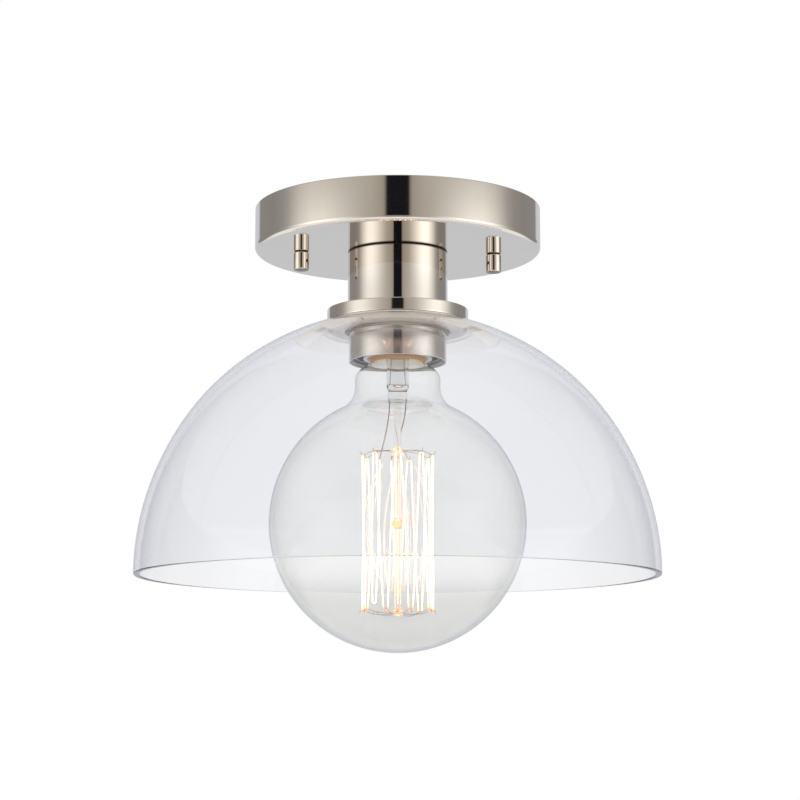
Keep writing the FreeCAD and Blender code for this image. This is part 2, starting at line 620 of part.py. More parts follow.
def strap_screws():
    """Two round-headed screws through the strap's feet into the porcelain."""
    seat = HOLDER_TOP_Z + STRAP_THICKNESS
    top = seat + STRAP_SCREW_HEAD_HEIGHT
    screws = []
    for side in (-1, 1):
        x = side * STRAP_SCREW_X
        screw = turned((0, seat - STRAP_SCREW_LENGTH),
                       (STRAP_SCREW_RADIUS, seat - STRAP_SCREW_LENGTH),
                       (STRAP_SCREW_RADIUS, seat),
                       (STRAP_SCREW_HEAD_RADIUS, seat),
                       (STRAP_SCREW_HEAD_RADIUS, top, STRAP_SCREW_HEAD_ROUND),
                       (0, top))
        screw.translate(Vector(x, 0, 0))
        slot_cut = Part.makeBox(2 * STRAP_SCREW_HEAD_RADIUS, SCREW_SLOT_WIDTH, SCREW_SLOT_DEPTH,
                                Vector(x - STRAP_SCREW_HEAD_RADIUS, -SCREW_SLOT_WIDTH / 2,
                                       top - SCREW_SLOT_DEPTH))
        screws.append(screw.cut(slot_cut))
    return Part.Compound(screws)


# ---- wiring -----------------------------------------------------------------------------------
def connector_line(connector, depth):
    """Point on a connector's line, depth inside its mouth."""
    x, y, angle = connector
    return Vector(x, y, LEAD_LAYER_Z) + around(angle, depth, 0)


def supply_lead(side, connector):
    """Insulated lead from the porcelain, through the nipple, to its connector in the canopy."""
    entry_z = HOLDER_TOP_Z - LEAD_DEPTH
    cross_z = STRAP_BAR_Z - STRAP_THICKNESS - LEAD_CROSS_DROP
    points = [Vector(0, side * LEAD_OFFSET, entry_z),
              Vector(0, side * LEAD_OFFSET, cross_z),
              Vector(0, side * LEAD_SPREAD, cross_z),
              Vector(0, side * LEAD_SPREAD, LEAD_LAYER_Z),
              connector_line(connector, -LEAD_APPROACH),
              connector_line(connector, CONNECTOR_DEPTH - SEAT_GAP)]
    return tube(points, LEAD_RADIUS, LEAD_BEND)[0]


def wire_connector(connector, wire_radius):
    """Tapered screw-on wire connector with a socket for the wire."""
    bore = wire_radius + SEAT_GAP
    mouth_bore = CONNECTOR_MOUTH_RADIUS - CONNECTOR_WALL
    body = turned((bore, CONNECTOR_FUNNEL),
                  (mouth_bore, 0),
                  (CONNECTOR_MOUTH_RADIUS, 0, CONNECTOR_MOUTH_ROUND),
                  (CONNECTOR_MOUTH_RADIUS, CONNECTOR_SKIRT, CONNECTOR_SKIRT_ROUND),
                  (CONNECTOR_TIP_RADIUS, CONNECTOR_LENGTH, CONNECTOR_TIP_ROUND),
                  (0, CONNECTOR_LENGTH),
                  (0, CONNECTOR_DEPTH),
                  (bore, CONNECTOR_DEPTH))
    body.rotate(Vector(0, 0, 0), Vector(0, 1, 0), 90)
    body.rotate(Vector(0, 0, 0), UP, connector[2])
    body.translate(connector_line(connector, 0))
    return body


def wire_connectors():
    return Part.Compound([wire_connector(BLACK_CONNECTOR, LEAD_RADIUS),
                          wire_connector(WHITE_CONNECTOR, LEAD_RADIUS),
                          wire_connector(GROUND_CONNECTOR, GROUND_WIRE_RADIUS)])


def ground_screw():
    """Hexagon washer-head screw up into the plate."""
    seat = -PLATE_THICKNESS
    head_bottom = seat - GROUND_SCREW_HEAD_HEIGHT
    shank = cylinder(GROUND_SCREW_RADIUS, 0, head_bottom, GROUND_SCREW_X, GROUND_SCREW_Y)
    flange_bottom = seat - GROUND_SCREW_FLANGE
    flange = cylinder(GROUND_SCREW_HEAD_RADIUS, seat, flange_bottom, GROUND_SCREW_X, GROUND_SCREW_Y)
    head = hexagon_nut(GROUND_SCREW_ACROSS_FLATS, GROUND_SCREW_RADIUS / 2,
                       flange_bottom, head_bottom, GROUND_SCREW_X, GROUND_SCREW_Y)
    return shank.fuse([flange, head]).removeSplitter()


def ground_wire():
    """Bare copper wire from beside the ground screw's head to its connector."""
    beside = GROUND_SCREW_HEAD_RADIUS + GROUND_WIRE_RADIUS + WIRE_GAP
    start = Vector(GROUND_SCREW_X, GROUND_SCREW_Y + beside,
                   -PLATE_THICKNESS - GROUND_WIRE_RADIUS - WIRE_GAP)
    tail = Vector(GROUND_WIRE_TAIL, 0, 0)
    points = [start - tail,
              start + tail,
              Vector(start.x + GROUND_WIRE_STEP, start.y + GROUND_WIRE_SWING, LEAD_LAYER_Z),
              connector_line(GROUND_CONNECTOR, -GROUND_WIRE_APPROACH),
              connector_line(GROUND_CONNECTOR, CONNECTOR_DEPTH - SEAT_GAP)]
    return tube(points, GROUND_WIRE_RADIUS, GROUND_WIRE_BEND)[0]


# ---- bulb -------------------------------------------------------------------------------------
def bulb_surface(inset):
    """Edges of one side of the bulb's glass, moved inwards by inset: throat in the cap, shoulder,
    neck, hollow blend and globe."""
    neck = BULB_NECK_RADIUS - inset
    globe = GLOBE_RADIUS - inset
    blend = BULB_NECK_BLEND + inset
    centre = Vector(neck + blend, 0,
                    GLOBE_Z + math.sqrt((globe + blend)**2 - (neck + blend)**2))
    to_globe = math.atan2(centre.z - GLOBE_Z, centre.x)
    join = Vector(globe * math.cos(to_globe), 0, GLOBE_Z + globe * math.sin(to_globe))
    halfway = (math.pi + math.pi + to_globe) / 2
    blend_middle = centre + Vector(math.cos(halfway), 0, math.sin(halfway)) * blend
    throat = BULB_THROAT_RADIUS - inset
    throat_z = BULB_THROAT_Z - inset / 2
    corners = [(Vector(throat, 0, throat_z + BULB_THROAT_LENGTH + inset / 2), 0),
               (Vector(throat, 0, throat_z), BULB_THROAT_ROUND + inset),
               (Vector(neck, 0, throat_z - BULB_SHOULDER_HEIGHT), BULB_SHOULDER_ROUND - inset),
               (Vector(neck, 0, centre.z), 0)]
    edges = rounded_edges(corners, closed=False)
    edges.append(Part.Arc(corners[-1][0], blend_middle, join).toShape())
    belly = Vector(globe, 0, GLOBE_Z)
    pole = Vector(0, 0, GLOBE_Z - globe)
    edges.append(Part.Arc(join, belly, pole).toShape())
    return edges, corners[0][0], pole


def bulb_glass():
    """Thin blown envelope, open at the top where the stem is sealed in."""
    outer, outer_top, outer_pole = bulb_surface(0)
    inner, inner_top, inner_pole = bulb_surface(BULB_WALL)
    closing = [Part.LineSegment(outer_top, inner_top).toShape(),
               Part.LineSegment(outer_pole, inner_pole).toShape()]
    return lathe(Part.__sortEdges__(outer + inner + closing))


def bulb_cap():
    """Pressed brass cap with a rolled thread, a plain skirt and a cone up to the insulator."""
    wall = CAP_WALL
    cone_top = INSULATOR_Z + INSULATOR_FOOT
    thread_top = SKIRT_Z + CAP_SKIRT_HEIGHT + CAP_TURNS * CAP_PITCH
    crests = []
    for turn in range(CAP_TURNS):
        middle = thread_top - (turn + 0.5) * CAP_PITCH
        crests.append((CAP_RADIUS, middle, CAP_CREST_ROUND))
        crests.append((CAP_ROOT_RADIUS, middle - CAP_PITCH / 2, CAP_ROOT_ROUND))
    outer = [(INSULATOR_RADIUS, cone_top),
             (CAP_ROOT_RADIUS, thread_top, CAP_SHOULDER_ROUND),
             *crests[:-1],
             (SKIRT_RADIUS, SKIRT_Z + CAP_SKIRT_HEIGHT, CAP_SKIRT_ROUND),
             (SKIRT_RADIUS, SKIRT_Z)]
    inner = [(SKIRT_RADIUS - wall, SKIRT_Z),
             (SKIRT_RADIUS - wall, SKIRT_Z + CAP_SKIRT_HEIGHT - wall),
             (CAP_ROOT_RADIUS - wall, SKIRT_Z + CAP_SKIRT_HEIGHT + wall),
             (CAP_ROOT_RADIUS - wall, thread_top - wall),
             (INSULATOR_RADIUS, cone_top - wall)]
    return turned(*outer, *inner)


def bulb_insulator():
    """Black glass cone between the cap and the centre contact."""
    top = INSULATOR_Z + INSULATOR_HEIGHT
    return turned((0, INSULATOR_Z), (INSULATOR_RADIUS, INSULATOR_Z),
                  (INSULATOR_RADIUS, INSULATOR_Z + INSULATOR_FOOT), (CONTACT_RADIUS, top), (0, top))


def bulb_contact():
    """Solder button at the top of the cap."""
    top = CONTACT_Z
    bottom = top - CONTACT_HEIGHT
    return turned((0, bottom), (CONTACT_RADIUS, bottom), (CONTACT_RADIUS, top, CONTACT_ROUND), (0, top))


def bulb_stem():
    """Flared glass tube with a flat press at its lower end."""
    top = STEM_TOP_Z
    rim = BULB_THROAT_RADIUS - BULB_WALL - WIRE_GAP
    end = top - STEM_LENGTH
    tube_bore = STEM_RADIUS - STEM_WALL
    body = turned((rim, top),
                  (rim, top - STEM_WALL),
                  (STEM_RADIUS, top - STEM_FLARE_LENGTH, STEM_FLARE_ROUND),
                  (STEM_RADIUS, end, STEM_END_ROUND),
                  (0, end),
                  (0, end + STEM_WALL),
                  (tube_bore, end + STEM_WALL, STEM_BORE_ROUND),
                  (tube_bore, top - STEM_FLARE_LENGTH + STEM_WALL, STEM_FLARE_ROUND))
    press = Part.makeBox(PRESS_WIDTH, PRESS_DEPTH, PRESS_HEIGHT,
                         Vector(-PRESS_WIDTH / 2, -PRESS_DEPTH / 2, PRESS_BOTTOM_Z))
    upright = [edge for edge in press.Edges
               if abs(edge.Vertexes[0].Z - edge.Vertexes[-1].Z) > PRESS_HEIGHT / 2]
    return body.fuse(press.makeFillet(PRESS_EDGE_ROUND, upright))


def bulb_rod():
    """Glass rod down the middle of the cage, with a bead at each row of hooks."""
    rod = cylinder(ROD_RADIUS, PRESS_BOTTOM_Z, LOWER_BEAD_Z)
    beads = [Part.makeSphere(BEAD_RADIUS, Vector(0, 0, z)) for z in (UPPER_BEAD_Z, LOWER_BEAD_Z)]
    return rod.fuse(beads)


def hook(angle, bead_z, row_z, tip):
    """Support wire from a bead out through a loop of the filament, with a bent tip."""
    points = [around(angle, BEAD_RADIUS / 2, bead_z),
              around(angle, CAGE_RADIUS - HOOK_RUN, row_z),
              around(angle, CAGE_RADIUS + HOOK_REACH, row_z),
              around(angle, CAGE_RADIUS + HOOK_REACH, row_z + tip)]
    wire = tube(points, HOOK_RADIUS, HOOK_BEND)[0]
    return wire.cut(Part.makeSphere(BEAD_RADIUS, Vector(0, 0, bead_z)))


def loop_angle(step):
    """Angle of the filament's turn number step: whole steps are upper turns, half steps lower."""
    return FILAMENT_GAP_ANGLE + 360 * step / FILAMENT_LOOPS


def upper_supports():
    return Part.Compound([hook(loop_angle(i), UPPER_BEAD_Z, CAGE_TOP_Z, HOOK_REACH)
                          for i in range(1, FILAMENT_LOOPS)])


def lower_supports():
    return Part.Compound([hook(loop_angle(i + 0.5), LOWER_BEAD_Z, CAGE_BOTTOM_Z, -HOOK_REACH)
                          for i in range(FILAMENT_LOOPS)])


def middle_support():
    """Wire wrapped round the rod at mid height, with an arm to each side."""
    band_radius = ROD_RADIUS + SEAT_GAP / 2 + SPREADER_BAND_RADIUS
    band = Part.makeTorus(band_radius, SPREADER_BAND_RADIUS, Vector(0, 0, GLOBE_Z))
    arms = [Part.makeCylinder(HOOK_RADIUS, SPREADER_LENGTH - band_radius,
                              Vector(side * band_radius, 0, GLOBE_Z),
                              Vector(side, 0, 0)) for side in (-1, 1)]
    return band.fuse(arms)


def filament_points():
    """Corners of the filament's line. The straight strands lean to meet above the upper hooks and
    below the lower ones, so that a turn of FILAMENT_TURN_RADIUS just rides on each hook."""
    step = 360 / FILAMENT_LOOPS / 2
    shift = 2 * CAGE_RADIUS * math.sin(math.radians(step) / 2)
    height = CAGE_TOP_Z - CAGE_BOTTOM_Z
    lean = shift / (height + 2 * FILAMENT_TURN_RADIUS)
    reach = FILAMENT_TURN_RADIUS / math.sin(math.atan(lean))
    for _ in range(6):
        lean = shift / (height + 2 * reach)
        reach = FILAMENT_TURN_RADIUS / math.sin(math.atan(lean))
    points = [around(FILAMENT_GAP_ANGLE + FILAMENT_END_ANGLE, CAGE_RADIUS, CAGE_TOP_Z)]
    for i in range(FILAMENT_LOOPS):
        points.append(around(loop_angle(i + 0.5), CAGE_RADIUS, CAGE_BOTTOM_Z - reach))
        points.append(around(loop_angle(i + 1), CAGE_RADIUS, CAGE_TOP_Z + reach))
    points[-1] = around(FILAMENT_GAP_ANGLE - FILAMENT_END_ANGLE, CAGE_RADIUS, CAGE_TOP_Z)
    return points


def filament():
    """One unbroken wire, zigzag between the hooks, printed with its least gap to itself."""
    points = filament_points()
    wire, path = tube(points, FILAMENT_RADIUS, FILAMENT_TURN_RADIUS)
    samples = path.discretize(Distance=FILAMENT_SAMPLE)
    turn = round(math.pi * FILAMENT_TURN_RADIUS / FILAMENT_SAMPLE) + 1
    least = min((samples[i] - samples[j]).Length
                for i in range(len(samples)) for j in range(i + turn, len(samples)))
    print("filament gap to itself, mm:", round(least - 2 * FILAMENT_RADIUS, 2))
    print("filament volume over section times length:",
          round(wire.Volume / (math.pi * FILAMENT_RADIUS**2 * path.Length), 4))
    return wire


def bulb_leads():
    """Two wires from the press to the filament's ends."""
    wires = []
    for side in (-1, 1):
        start = Vector(-side * BULB_LEAD_SPREAD, 0, PRESS_BOTTOM_Z)
        end = around(FILAMENT_GAP_ANGLE + side * FILAMENT_END_ANGLE, CAGE_RADIUS,
                     CAGE_TOP_Z + FILAMENT_RADIUS + SEAT_GAP)
        bend = start - UP * BULB_LEAD_DROP
        wires.append(tube([start, bend, end], BULB_LEAD_RADIUS, BULB_LEAD_BEND)[0])
    return Part.Compound(wires)


SUBPARTS = {
    "mounting_plate": mounting_plate,
    "canopy_studs": lambda: both_sides(canopy_stud),
    "stud_locknuts": lambda: both_sides(stud_locknut),
    "ground_screw": ground_screw,
    "ground_wire": ground_wire,
    "wire_connectors": wire_connectors,
    "canopy": canopy,
    "knob_nut_left": lambda: knob_nut(-STUD_X),
    "knob_nut_right": lambda: knob_nut(STUD_X),
    "knob_washer_left": lambda: knob_washer(-STUD_X),
    "knob_washer_right": lambda: knob_washer(STUD_X),
    "nipple": nipple,
    "nipple_locknuts": nipple_locknuts,
    "nipple_lockwasher": nipple_lockwasher,
    "socket_housing": socket_housing,
    "shade_flange": shade_flange,
    "upper_gasket": upper_gasket,
    "glass_shade": glass_shade,
    "lower_gasket": lower_gasket,
    "retaining_collar": retaining_collar,
    "lampholder_body": lampholder_body,
    "screw_shell": screw_shell,
    "centre_contact": centre_contact,
    "lampholder_strap": lampholder_strap,
    "strap_screws": strap_screws,
    "lead_black": lambda: supply_lead(1, BLACK_CONNECTOR),
    "lead_white": lambda: supply_lead(-1, WHITE_CONNECTOR),
    "bulb_cap": bulb_cap,
    "bulb_insulator": bulb_insulator,
    "bulb_contact": bulb_contact,
    "bulb_glass": bulb_glass,
    "bulb_stem": bulb_stem,
    "bulb_rod": bulb_rod,
    "bulb_leads": bulb_leads,
    "upper_supports": upper_supports,
    "middle_support": middle_support,
    "lower_supports": lower_supports,
    "filament": filament,
}

os.makedirs("parts", exist_ok=True)
for name, make in SUBPARTS.items():
    shape = make()
    faults = [solid for solid in shape.Solids if not solid.isValid() or solid.Volume <= 0]
    print(name, "solids", len(shape.Solids), "faults", len(faults), "volume", round(shape.Volume, 1))
    shape.exportStep("parts/" + name + ".step")
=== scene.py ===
"""Looks of the semi flush ceiling light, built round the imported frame.

Metres, in the part's own frame: the origin is the middle of the canopy's ceiling face and +Z
points up into the ceiling. Every round piece is a profile of (radius, height) points that is
turned about the light's axis, and every wire is a path that carries a small circle.
"""
import math

import bpy
import numpy as np
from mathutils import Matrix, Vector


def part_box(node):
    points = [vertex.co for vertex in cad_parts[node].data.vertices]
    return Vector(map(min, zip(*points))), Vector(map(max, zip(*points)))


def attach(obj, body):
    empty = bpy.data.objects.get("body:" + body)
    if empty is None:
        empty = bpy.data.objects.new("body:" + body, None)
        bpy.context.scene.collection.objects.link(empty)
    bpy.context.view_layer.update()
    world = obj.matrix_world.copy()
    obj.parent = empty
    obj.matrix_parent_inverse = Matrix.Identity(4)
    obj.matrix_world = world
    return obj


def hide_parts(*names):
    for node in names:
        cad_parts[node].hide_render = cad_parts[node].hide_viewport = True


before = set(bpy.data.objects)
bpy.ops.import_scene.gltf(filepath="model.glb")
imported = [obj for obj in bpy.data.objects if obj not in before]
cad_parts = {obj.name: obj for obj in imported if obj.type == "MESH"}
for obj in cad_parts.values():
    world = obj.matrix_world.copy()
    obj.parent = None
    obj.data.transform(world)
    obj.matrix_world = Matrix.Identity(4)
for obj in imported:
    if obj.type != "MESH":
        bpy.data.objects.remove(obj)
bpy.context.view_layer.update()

# ---- the photograph's camera ----
IMAGE_SIZE = 800
FOCAL_PIXELS = 2129.65
SENSOR = 0.036
CAMERA_DISTANCE = 1.0304        # from the light's axis
CAMERA_HEIGHT = -0.2561
CAMERA_AZIMUTH = math.radians(3.3)      # the camera stands this far to the left of -Y
CAMERA_PITCH = math.radians(8.893)
AXIS_PIXEL = 397.7              # image column of the light's axis

# ---- how finely things are divided ----
AROUND = 288                    # columns of points round a turned piece
CANOPY_AROUND = 384
BOWL_AROUND = 300
CAP_AROUND = 192
SHELL_AROUND = 144
SMALL_AROUND = 96               # knobs, washers and the stem
NIPPLE_AROUND = 72
ROD_AROUND = 64
STUD_AROUND = 32
WIRE_SIDES = 8
FINE_ROWS, SPIGOT_ROWS, SHELL_ROWS, CAP_ROWS = 8, 10, 14, 16    # rows of points in one pitch
ARC_STEP = math.radians(7)
SHARP_ANGLE = math.radians(50)
SUPPORT = 0.00012               # flat runs get a row of points this close to each end
POLE_WIDTH = 1e-9               # a row of points narrower than this is a pole
ON_CREST = 1e-6                 # points this close to a thread's crest belong to the thread
TIP_RISE, TIP_WAIST = 0.6, 0.75         # a wire's rounded tip, as shares of its radius

# ---- canopy and knobs ----
CANOPY_WALL = 0.0012
CANOPY_EDGE_ROUND = 0.0022
CANOPY_RIM_ROUND = 0.0004
KNOB_EDGE_ROUND = 0.0006
KNOB_TOP_ROUND = 0.0003
KNOB_BORE_DEPTH = 0.0066
WASHER_ROUND = 0.00012
WASHER_CLEARANCE = 0.0005
WASHER_SEAT_GAP = 0.00003       # keeps the washer's lower face off the knob that turns under it
STUD_PITCH = 0.000794
STUD_THREAD_DEPTH = 0.0003
STUD_BEVEL = 0.25               # share of the radius
NIPPLE_BORE = 0.0034
NIPPLE_PITCH = 0.00094
NIPPLE_THREAD_DEPTH = 0.0003
NIPPLE_CLEARANCE = 0.0005

# ---- neck, flange, collar ----
NECK_WALL = 0.0016
NECK_TOP = 0.002
NECK_TOP_ROUND = 0.0005
NECK_FOOT = 0.0028
SPIGOT_RADIUS = 0.0219
SPIGOT_WALL = 0.0017
SPIGOT_PITCH = 0.0015
SPIGOT_THREAD_DEPTH = 0.00035
FLANGE_LOWER_ROUND = 0.0013
FLANGE_UPPER_ROUND = 0.0005
FLANGE_CLEARANCE = 0.0002
EDGE_BREAK = 0.0003             # the small rounding left on every turned edge
COLLAR_BORE = 0.02196
COLLAR_LIP = 0.0004             # flat left outside the mouth's chamfer
COLLAR_TOP_ROUND = 0.0005
COLLAR_THREAD_DEPTH = 0.0003
MOUTH_SHIFT = 0.001             # the mouths sit this much deeper than in the CAD

# ---- glass bowl ----
SHADE_WALL = 0.0028
SHADE_HOLE = 0.0226
SHADE_CROWN_ROUND = 0.005
SHADE_FULLNESS = 0.0008         # the upper part of the dome stands this far outside the sphere
FULL_FROM, FULL_SPAN = 20, 30   # degrees above the rim where that starts, and its spread
SHADE_RIM_ROUND = 0.0006
SHADE_RINGS = 150
SHOULDER_STEPS = 16

# ---- lampholder ----
HOLDER_BORE = 0.01455
HOLDER_FLOOR = 0.0105
HOLDER_TOP_ROUND = 0.001
HOLDER_RIM_ROUND = 0.0007
HOLDER_MOUTH_ROUND = 0.0009
SHELL_WALL = 0.00045
SHELL_HOLE = 0.0084
SHELL_THREAD_DEPTH = 0.0004

# ---- bulb: envelope and cap ----
BULB_WALL = 0.0004
BULB_NECK = 0.021
BULB_NECK_BLEND = 0.012
BLEND_STEPS = 24
THROAT_RADIUS = 0.0122
THROAT_ROUND = 0.001
SKIRT_DROP = 0.0028             # the skirt's lower edge shows this far below the CAD's
SHOULDER_HEIGHT = 0.0064
SHOULDER_ROUND = 0.006
GLOBE_RINGS = 110
CAP_CREST = 0.0132
CAP_ROOT = 0.01235
CAP_PITCH = 0.00363
CAP_TURNS = 4
CAP_WALL = 0.00035
CAP_SKIRT_HEIGHT = 0.0026
CAP_SKIRT_ROUND = 0.0005
CAP_CONE_ROUND = 0.001
INSULATOR_RADIUS = 0.008

# ---- bulb: stem and rod ----
STEM_RADIUS = 0.0055
STEM_WALL = 0.001
STEM_FLARE = 0.007
STEM_FLARE_ROUND = 0.006
STEM_FIT = 0.0001               # gap between the flare's rim and the throat
STEM_STEP = 0.001
POCKET_FLOOR = 0.0012           # glass left between the tube's hollow and the press
POCKET_DOME = 0.3               # how far the hollow's end bulges, as a share of its radius
POCKET_RINGS = 8
PRESS_HALF = (0.0046, 0.0022)
PRESS_FOOT_SHARE = (0.8, 0.6)   # widths that are left at the press's rounded foot
PRESS_HEIGHT = 0.0078
PRESS_BLEND = 0.0025            # height over which the round tube turns flat
PRESS_FOOT = 0.0008
PRESS_POWER = 1.5               # how much squarer than an ellipse the press gets
PRESS_RINGS = 25
ROD_RADIUS = 0.0016
ROD_END_ROUND = 0.0008
ROD_RINGS = 320
BEAD_RADIUS = 0.0033
BEAD_LIFT = 0.0012              # height of the upper bead's middle above the cage
UPPER_BEAD_HALF = 0.0024
MIDDLE_BEAD = 0.0026
MIDDLE_BEAD_HALF = 0.0027
LOWER_BEAD_HALF = 0.0016

# ---- bulb: wires ----
LEAD_RADIUS = 0.0003
LEAD_SPREAD = 0.004
LEAD_EXIT = 0.001               # the leads start this far up inside the press
LEAD_DROP, LEAD_BEND, LEAD_SWING = 0.009, 0.006, 0.35
LEAD_STEPS = 60
INNER_LEAD_SHARE = 0.7          # the leads are thinner above the press
INNER_LEAD_SPREAD = 0.0026
INNER_LEAD_TOP = 0.003          # above the stem
INNER_LEAD_PULLS = (0.004, 0.006)
CAGE_RADIUS = 0.0174
FILAMENT_LOOPS = 9
FILAMENT_RADIUS = 0.00022
FILAMENT_TURN = 0.0011
FILAMENT_SAG = 0.0020           # the upper turns hang this far below the hooks' row
FILAMENT_LIFT = 0.0006          # the lower turns stay this far above theirs
FILAMENT_BOW = 0.0008
FILAMENT_STEP = 0.0025
FILAMENT_SEED = 11
FILAMENT_GAP = math.radians(107.5)
FILAMENT_END = math.radians(10)
HOOK_RADIUS = 0.00022
HOOK_WIRE = 0.00013             # radius of the wire that shows
HOOK_ARCH = 0.0026
HOOK_DIP = 0.0018
HOOK_ROOT = 0.7                 # share of the bead's radius at which a hook leaves it
HOOK_PULLS = (0.4, 0.75)        # shares of the cage's radius that its arch is drawn towards
HOOK_BACK = 0.001               # the arch ends this far inside the cage
HOOK_OUT, HOOK_BULGE = 0.0012, 0.0014   # the tip and its bend stand this far outside it
HOOK_SWING = (0.0008, 0.0002)   # the way the tip sets off
HOOK_SLACK = 0.0001
HOOK_STEPS = 24
HOOK_SEED = 5
SPREADER_RISE = 0.0016
SPREADER_TURNS = 3
SPREADER_RINGS = 97
SPREADER_GAP = 0.0008           # each arm ends this far from the axis
STEPS = 12                      # points of a short straight or curved run

# ---- what the frame gives ----
canopy_low, canopy_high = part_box("canopy")
neck_low, neck_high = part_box("socket_housing")
flange_low, flange_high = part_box("shade_flange")
collar_low, collar_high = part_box("retaining_collar")
shade_low, shade_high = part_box("glass_shade")
holder_low, holder_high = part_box("lampholder_body")
shell_low, shell_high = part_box("screw_shell")
cap_low, cap_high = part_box("bulb_cap")
globe_low, globe_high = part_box("bulb_glass")
stem_low, stem_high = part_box("bulb_stem")
rod_low, rod_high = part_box("bulb_rod")
CAGE_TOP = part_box("upper_supports")[0].z + HOOK_RADIUS
CAGE_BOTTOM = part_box("lower_supports")[1].z - HOOK_RADIUS
SPREADER_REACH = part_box("middle_support")[1].x
GLOBE_RADIUS = globe_high.x
GLOBE_Z = globe_low.z + GLOBE_RADIUS
SKIRT_TOP = cap_low.z + CAP_SKIRT_HEIGHT
THREAD_TOP = SKIRT_TOP + CAP_TURNS * CAP_PITCH

# ---- colours: a pair holds the two close shades that a finish drifts between ----
BLACK, WHITE = (0, 0, 0), (1.0, 1.0, 1.0)
NICKEL = (0.785, 0.72, 0.645), (0.825, 0.765, 0.695)
# the next three darken polished nickel: painted shade inside bores and mouths, painted shade along
# a joint line, and a darker end face
DULL_SHADED_NICKEL = (0.30, 0.28, 0.275)
PAINTED_SEAM_SHADE = (0.012, 0.010, 0.008)
DARKER_END_FACE = (0.22, 0.19, 0.165)
ZINC = (0.50, 0.51, 0.52), (0.66, 0.67, 0.67)
GLAZE = (0.80, 0.79, 0.76), (0.88, 0.87, 0.85)
BRASS = (0.84, 0.62, 0.28), (0.70, 0.47, 0.18)
CAP_BRASS = (1.0, 0.57, 0.16), (0.95, 0.50, 0.12)
CEMENT = (0.93, 0.92, 0.90), (0.88, 0.86, 0.83)
# painted glow for the cap: on the cement near its mouth and on the skirt's lower edge
PAINTED_CEMENT_GLOW = (0.60, 0.575, 0.53)
PAINTED_SKIRT_GLOW = (0.13, 0.045, 0.0)
FILAMENT_WIRE = (0.30, 0.25, 0.2)
FILAMENT_GLOW = (0.14, 0.035, 0.008), (1.0, 0.43, 0.19)
# painted warm colour of the spreader wire, for the filament's light on it
PAINTED_WARM_WIRE = (0.45, 0.28, 0.14), (0.62, 0.42, 0.22)
DRAWN_WIRE = (0.30, 0.28, 0.26), (0.50, 0.48, 0.45)
COPPER = (0.86, 0.46, 0.30), (0.52, 0.25, 0.15)
SOLDER = (0.50, 0.50, 0.51), (0.68, 0.68, 0.69)
FIBRE = (0.05, 0.045, 0.04), (0.09, 0.08, 0.07)
ROD_GLASS = (0.985, 0.965, 0.92)
EDGE_ON_GLASS = (0.90, 0.92, 0.89)
FLOOR = (0.86, 0.86, 0.86), (0.90, 0.90, 0.90)

# ---- CAD nodes that keep their mesh and only get a finish ----
STEEL_NODES = ("mounting_plate", "stud_locknuts", "nipple_locknuts", "nipple_lockwasher",
               "lampholder_strap", "strap_screws")
MOULDED_NODES = (               # node, finish, its two shades, roughness
    ("ground_screw", "green_enamel", ((0.05, 0.34, 0.12), (0.04, 0.26, 0.09)), 0.3),
    ("wire_connectors", "orange_connector_shell", ((0.80, 0.30, 0.06), (0.70, 0.24, 0.05)), 0.42),
    ("lead_black", "black_insulation", ((0.03, 0.03, 0.032), (0.05, 0.05, 0.05)), 0.4),
    ("lead_white", "white_insulation", GLAZE, 0.4),
    ("bulb_insulator", "black_cap_glass", ((0.02, 0.02, 0.022), (0.04, 0.04, 0.042)), 0.15),
    ("upper_gasket", "silicone_gasket", ((0.78, 0.79, 0.80), (0.86, 0.87, 0.87)), 0.45),
    ("lower_gasket", "silicone_gasket", ((0.78, 0.79, 0.80), (0.86, 0.87, 0.87)), 0.45),
)

# ---- the studio that metal and glass reflect, as (degrees, colour or brightness) ----
TAN_WALL = (0.50, 0.48, 0.45)
FAR_WALL = (0.285, 0.28, 0.28)
BACKDROP = (0.64, 0.665, 0.72)
WALLS = [(10, (0.37, 0.345, 0.30)), (22, TAN_WALL), (84, TAN_WALL), (98, (0.36, 0.35, 0.34)),
         (118, FAR_WALL), (146, FAR_WALL), (149, BACKDROP), (180, BACKDROP)]
SOFT_BOX = [(24, 0.0), (31, 0.10), (41, 0.27), (51, 0.46), (61, 0.60), (73, 0.58), (84, 0.34),
            (98, 0.07), (106, 0.0)]
LEFT_BOX_SHARE = 0.82
BOX_RISE = [(-60, 0.3), (-30, 1.0), (2, 1.0), (9.5, 0.8), (11, 0.6), (12.2, 0.52), (12.6, 0.9),
            (13.2, 0.85), (13.75, 0.46), (13.95, 0.32), (14.35, 0.24), (14.85, 0.08), (16, 0.02),
            (45, 0.02)]
BOX_COLOUR = (2.0, 2.04, 2.08)
GAP_TURN = [(-10.2, 0.0), (-9.2, 1.0), (9.2, 1.0), (10.2, 0.0)]
GAP_RISE = [(-24, 0.0), (-20, 1.0), (-9, 1.0), (-7, 0.0), (7, 0.0), (8.5, 1.0), (20, 1.0),
            (30, 0.0)]
GAP_COLOUR = (0.008, 0.008, 0.012)
GROUND_RISE = [(-30, 1.0), (-19, 0.0), (45, 0.0), (70, 0.5)]
PANE_COLOUR = (0.95, 0.95, 0.97)
EVEN_LIGHT = (0.78, 0.78, 0.79)
LAMPS = (("key_lamp", (-1.4, -1.5, 1.3), 1.4, 14.0), ("fill_lamp", (1.8, -0.9, -0.4), 1.2, 6.0))
FLOOR_RADIUS = 7.0
FLOOR_Z = -1.5
FLOOR_ROWS, FLOOR_COLUMNS = 40, 64
SHADOW_RADIUS, FLOOR_FADE = 0.6, 2.0    # the floor fades to white over this much further out


# ---- profiles and surfaces ----
def unit(vectors):
    """Vectors divided by their lengths."""
    return vectors / np.linalg.norm(vectors, axis=-1, keepdims=True)


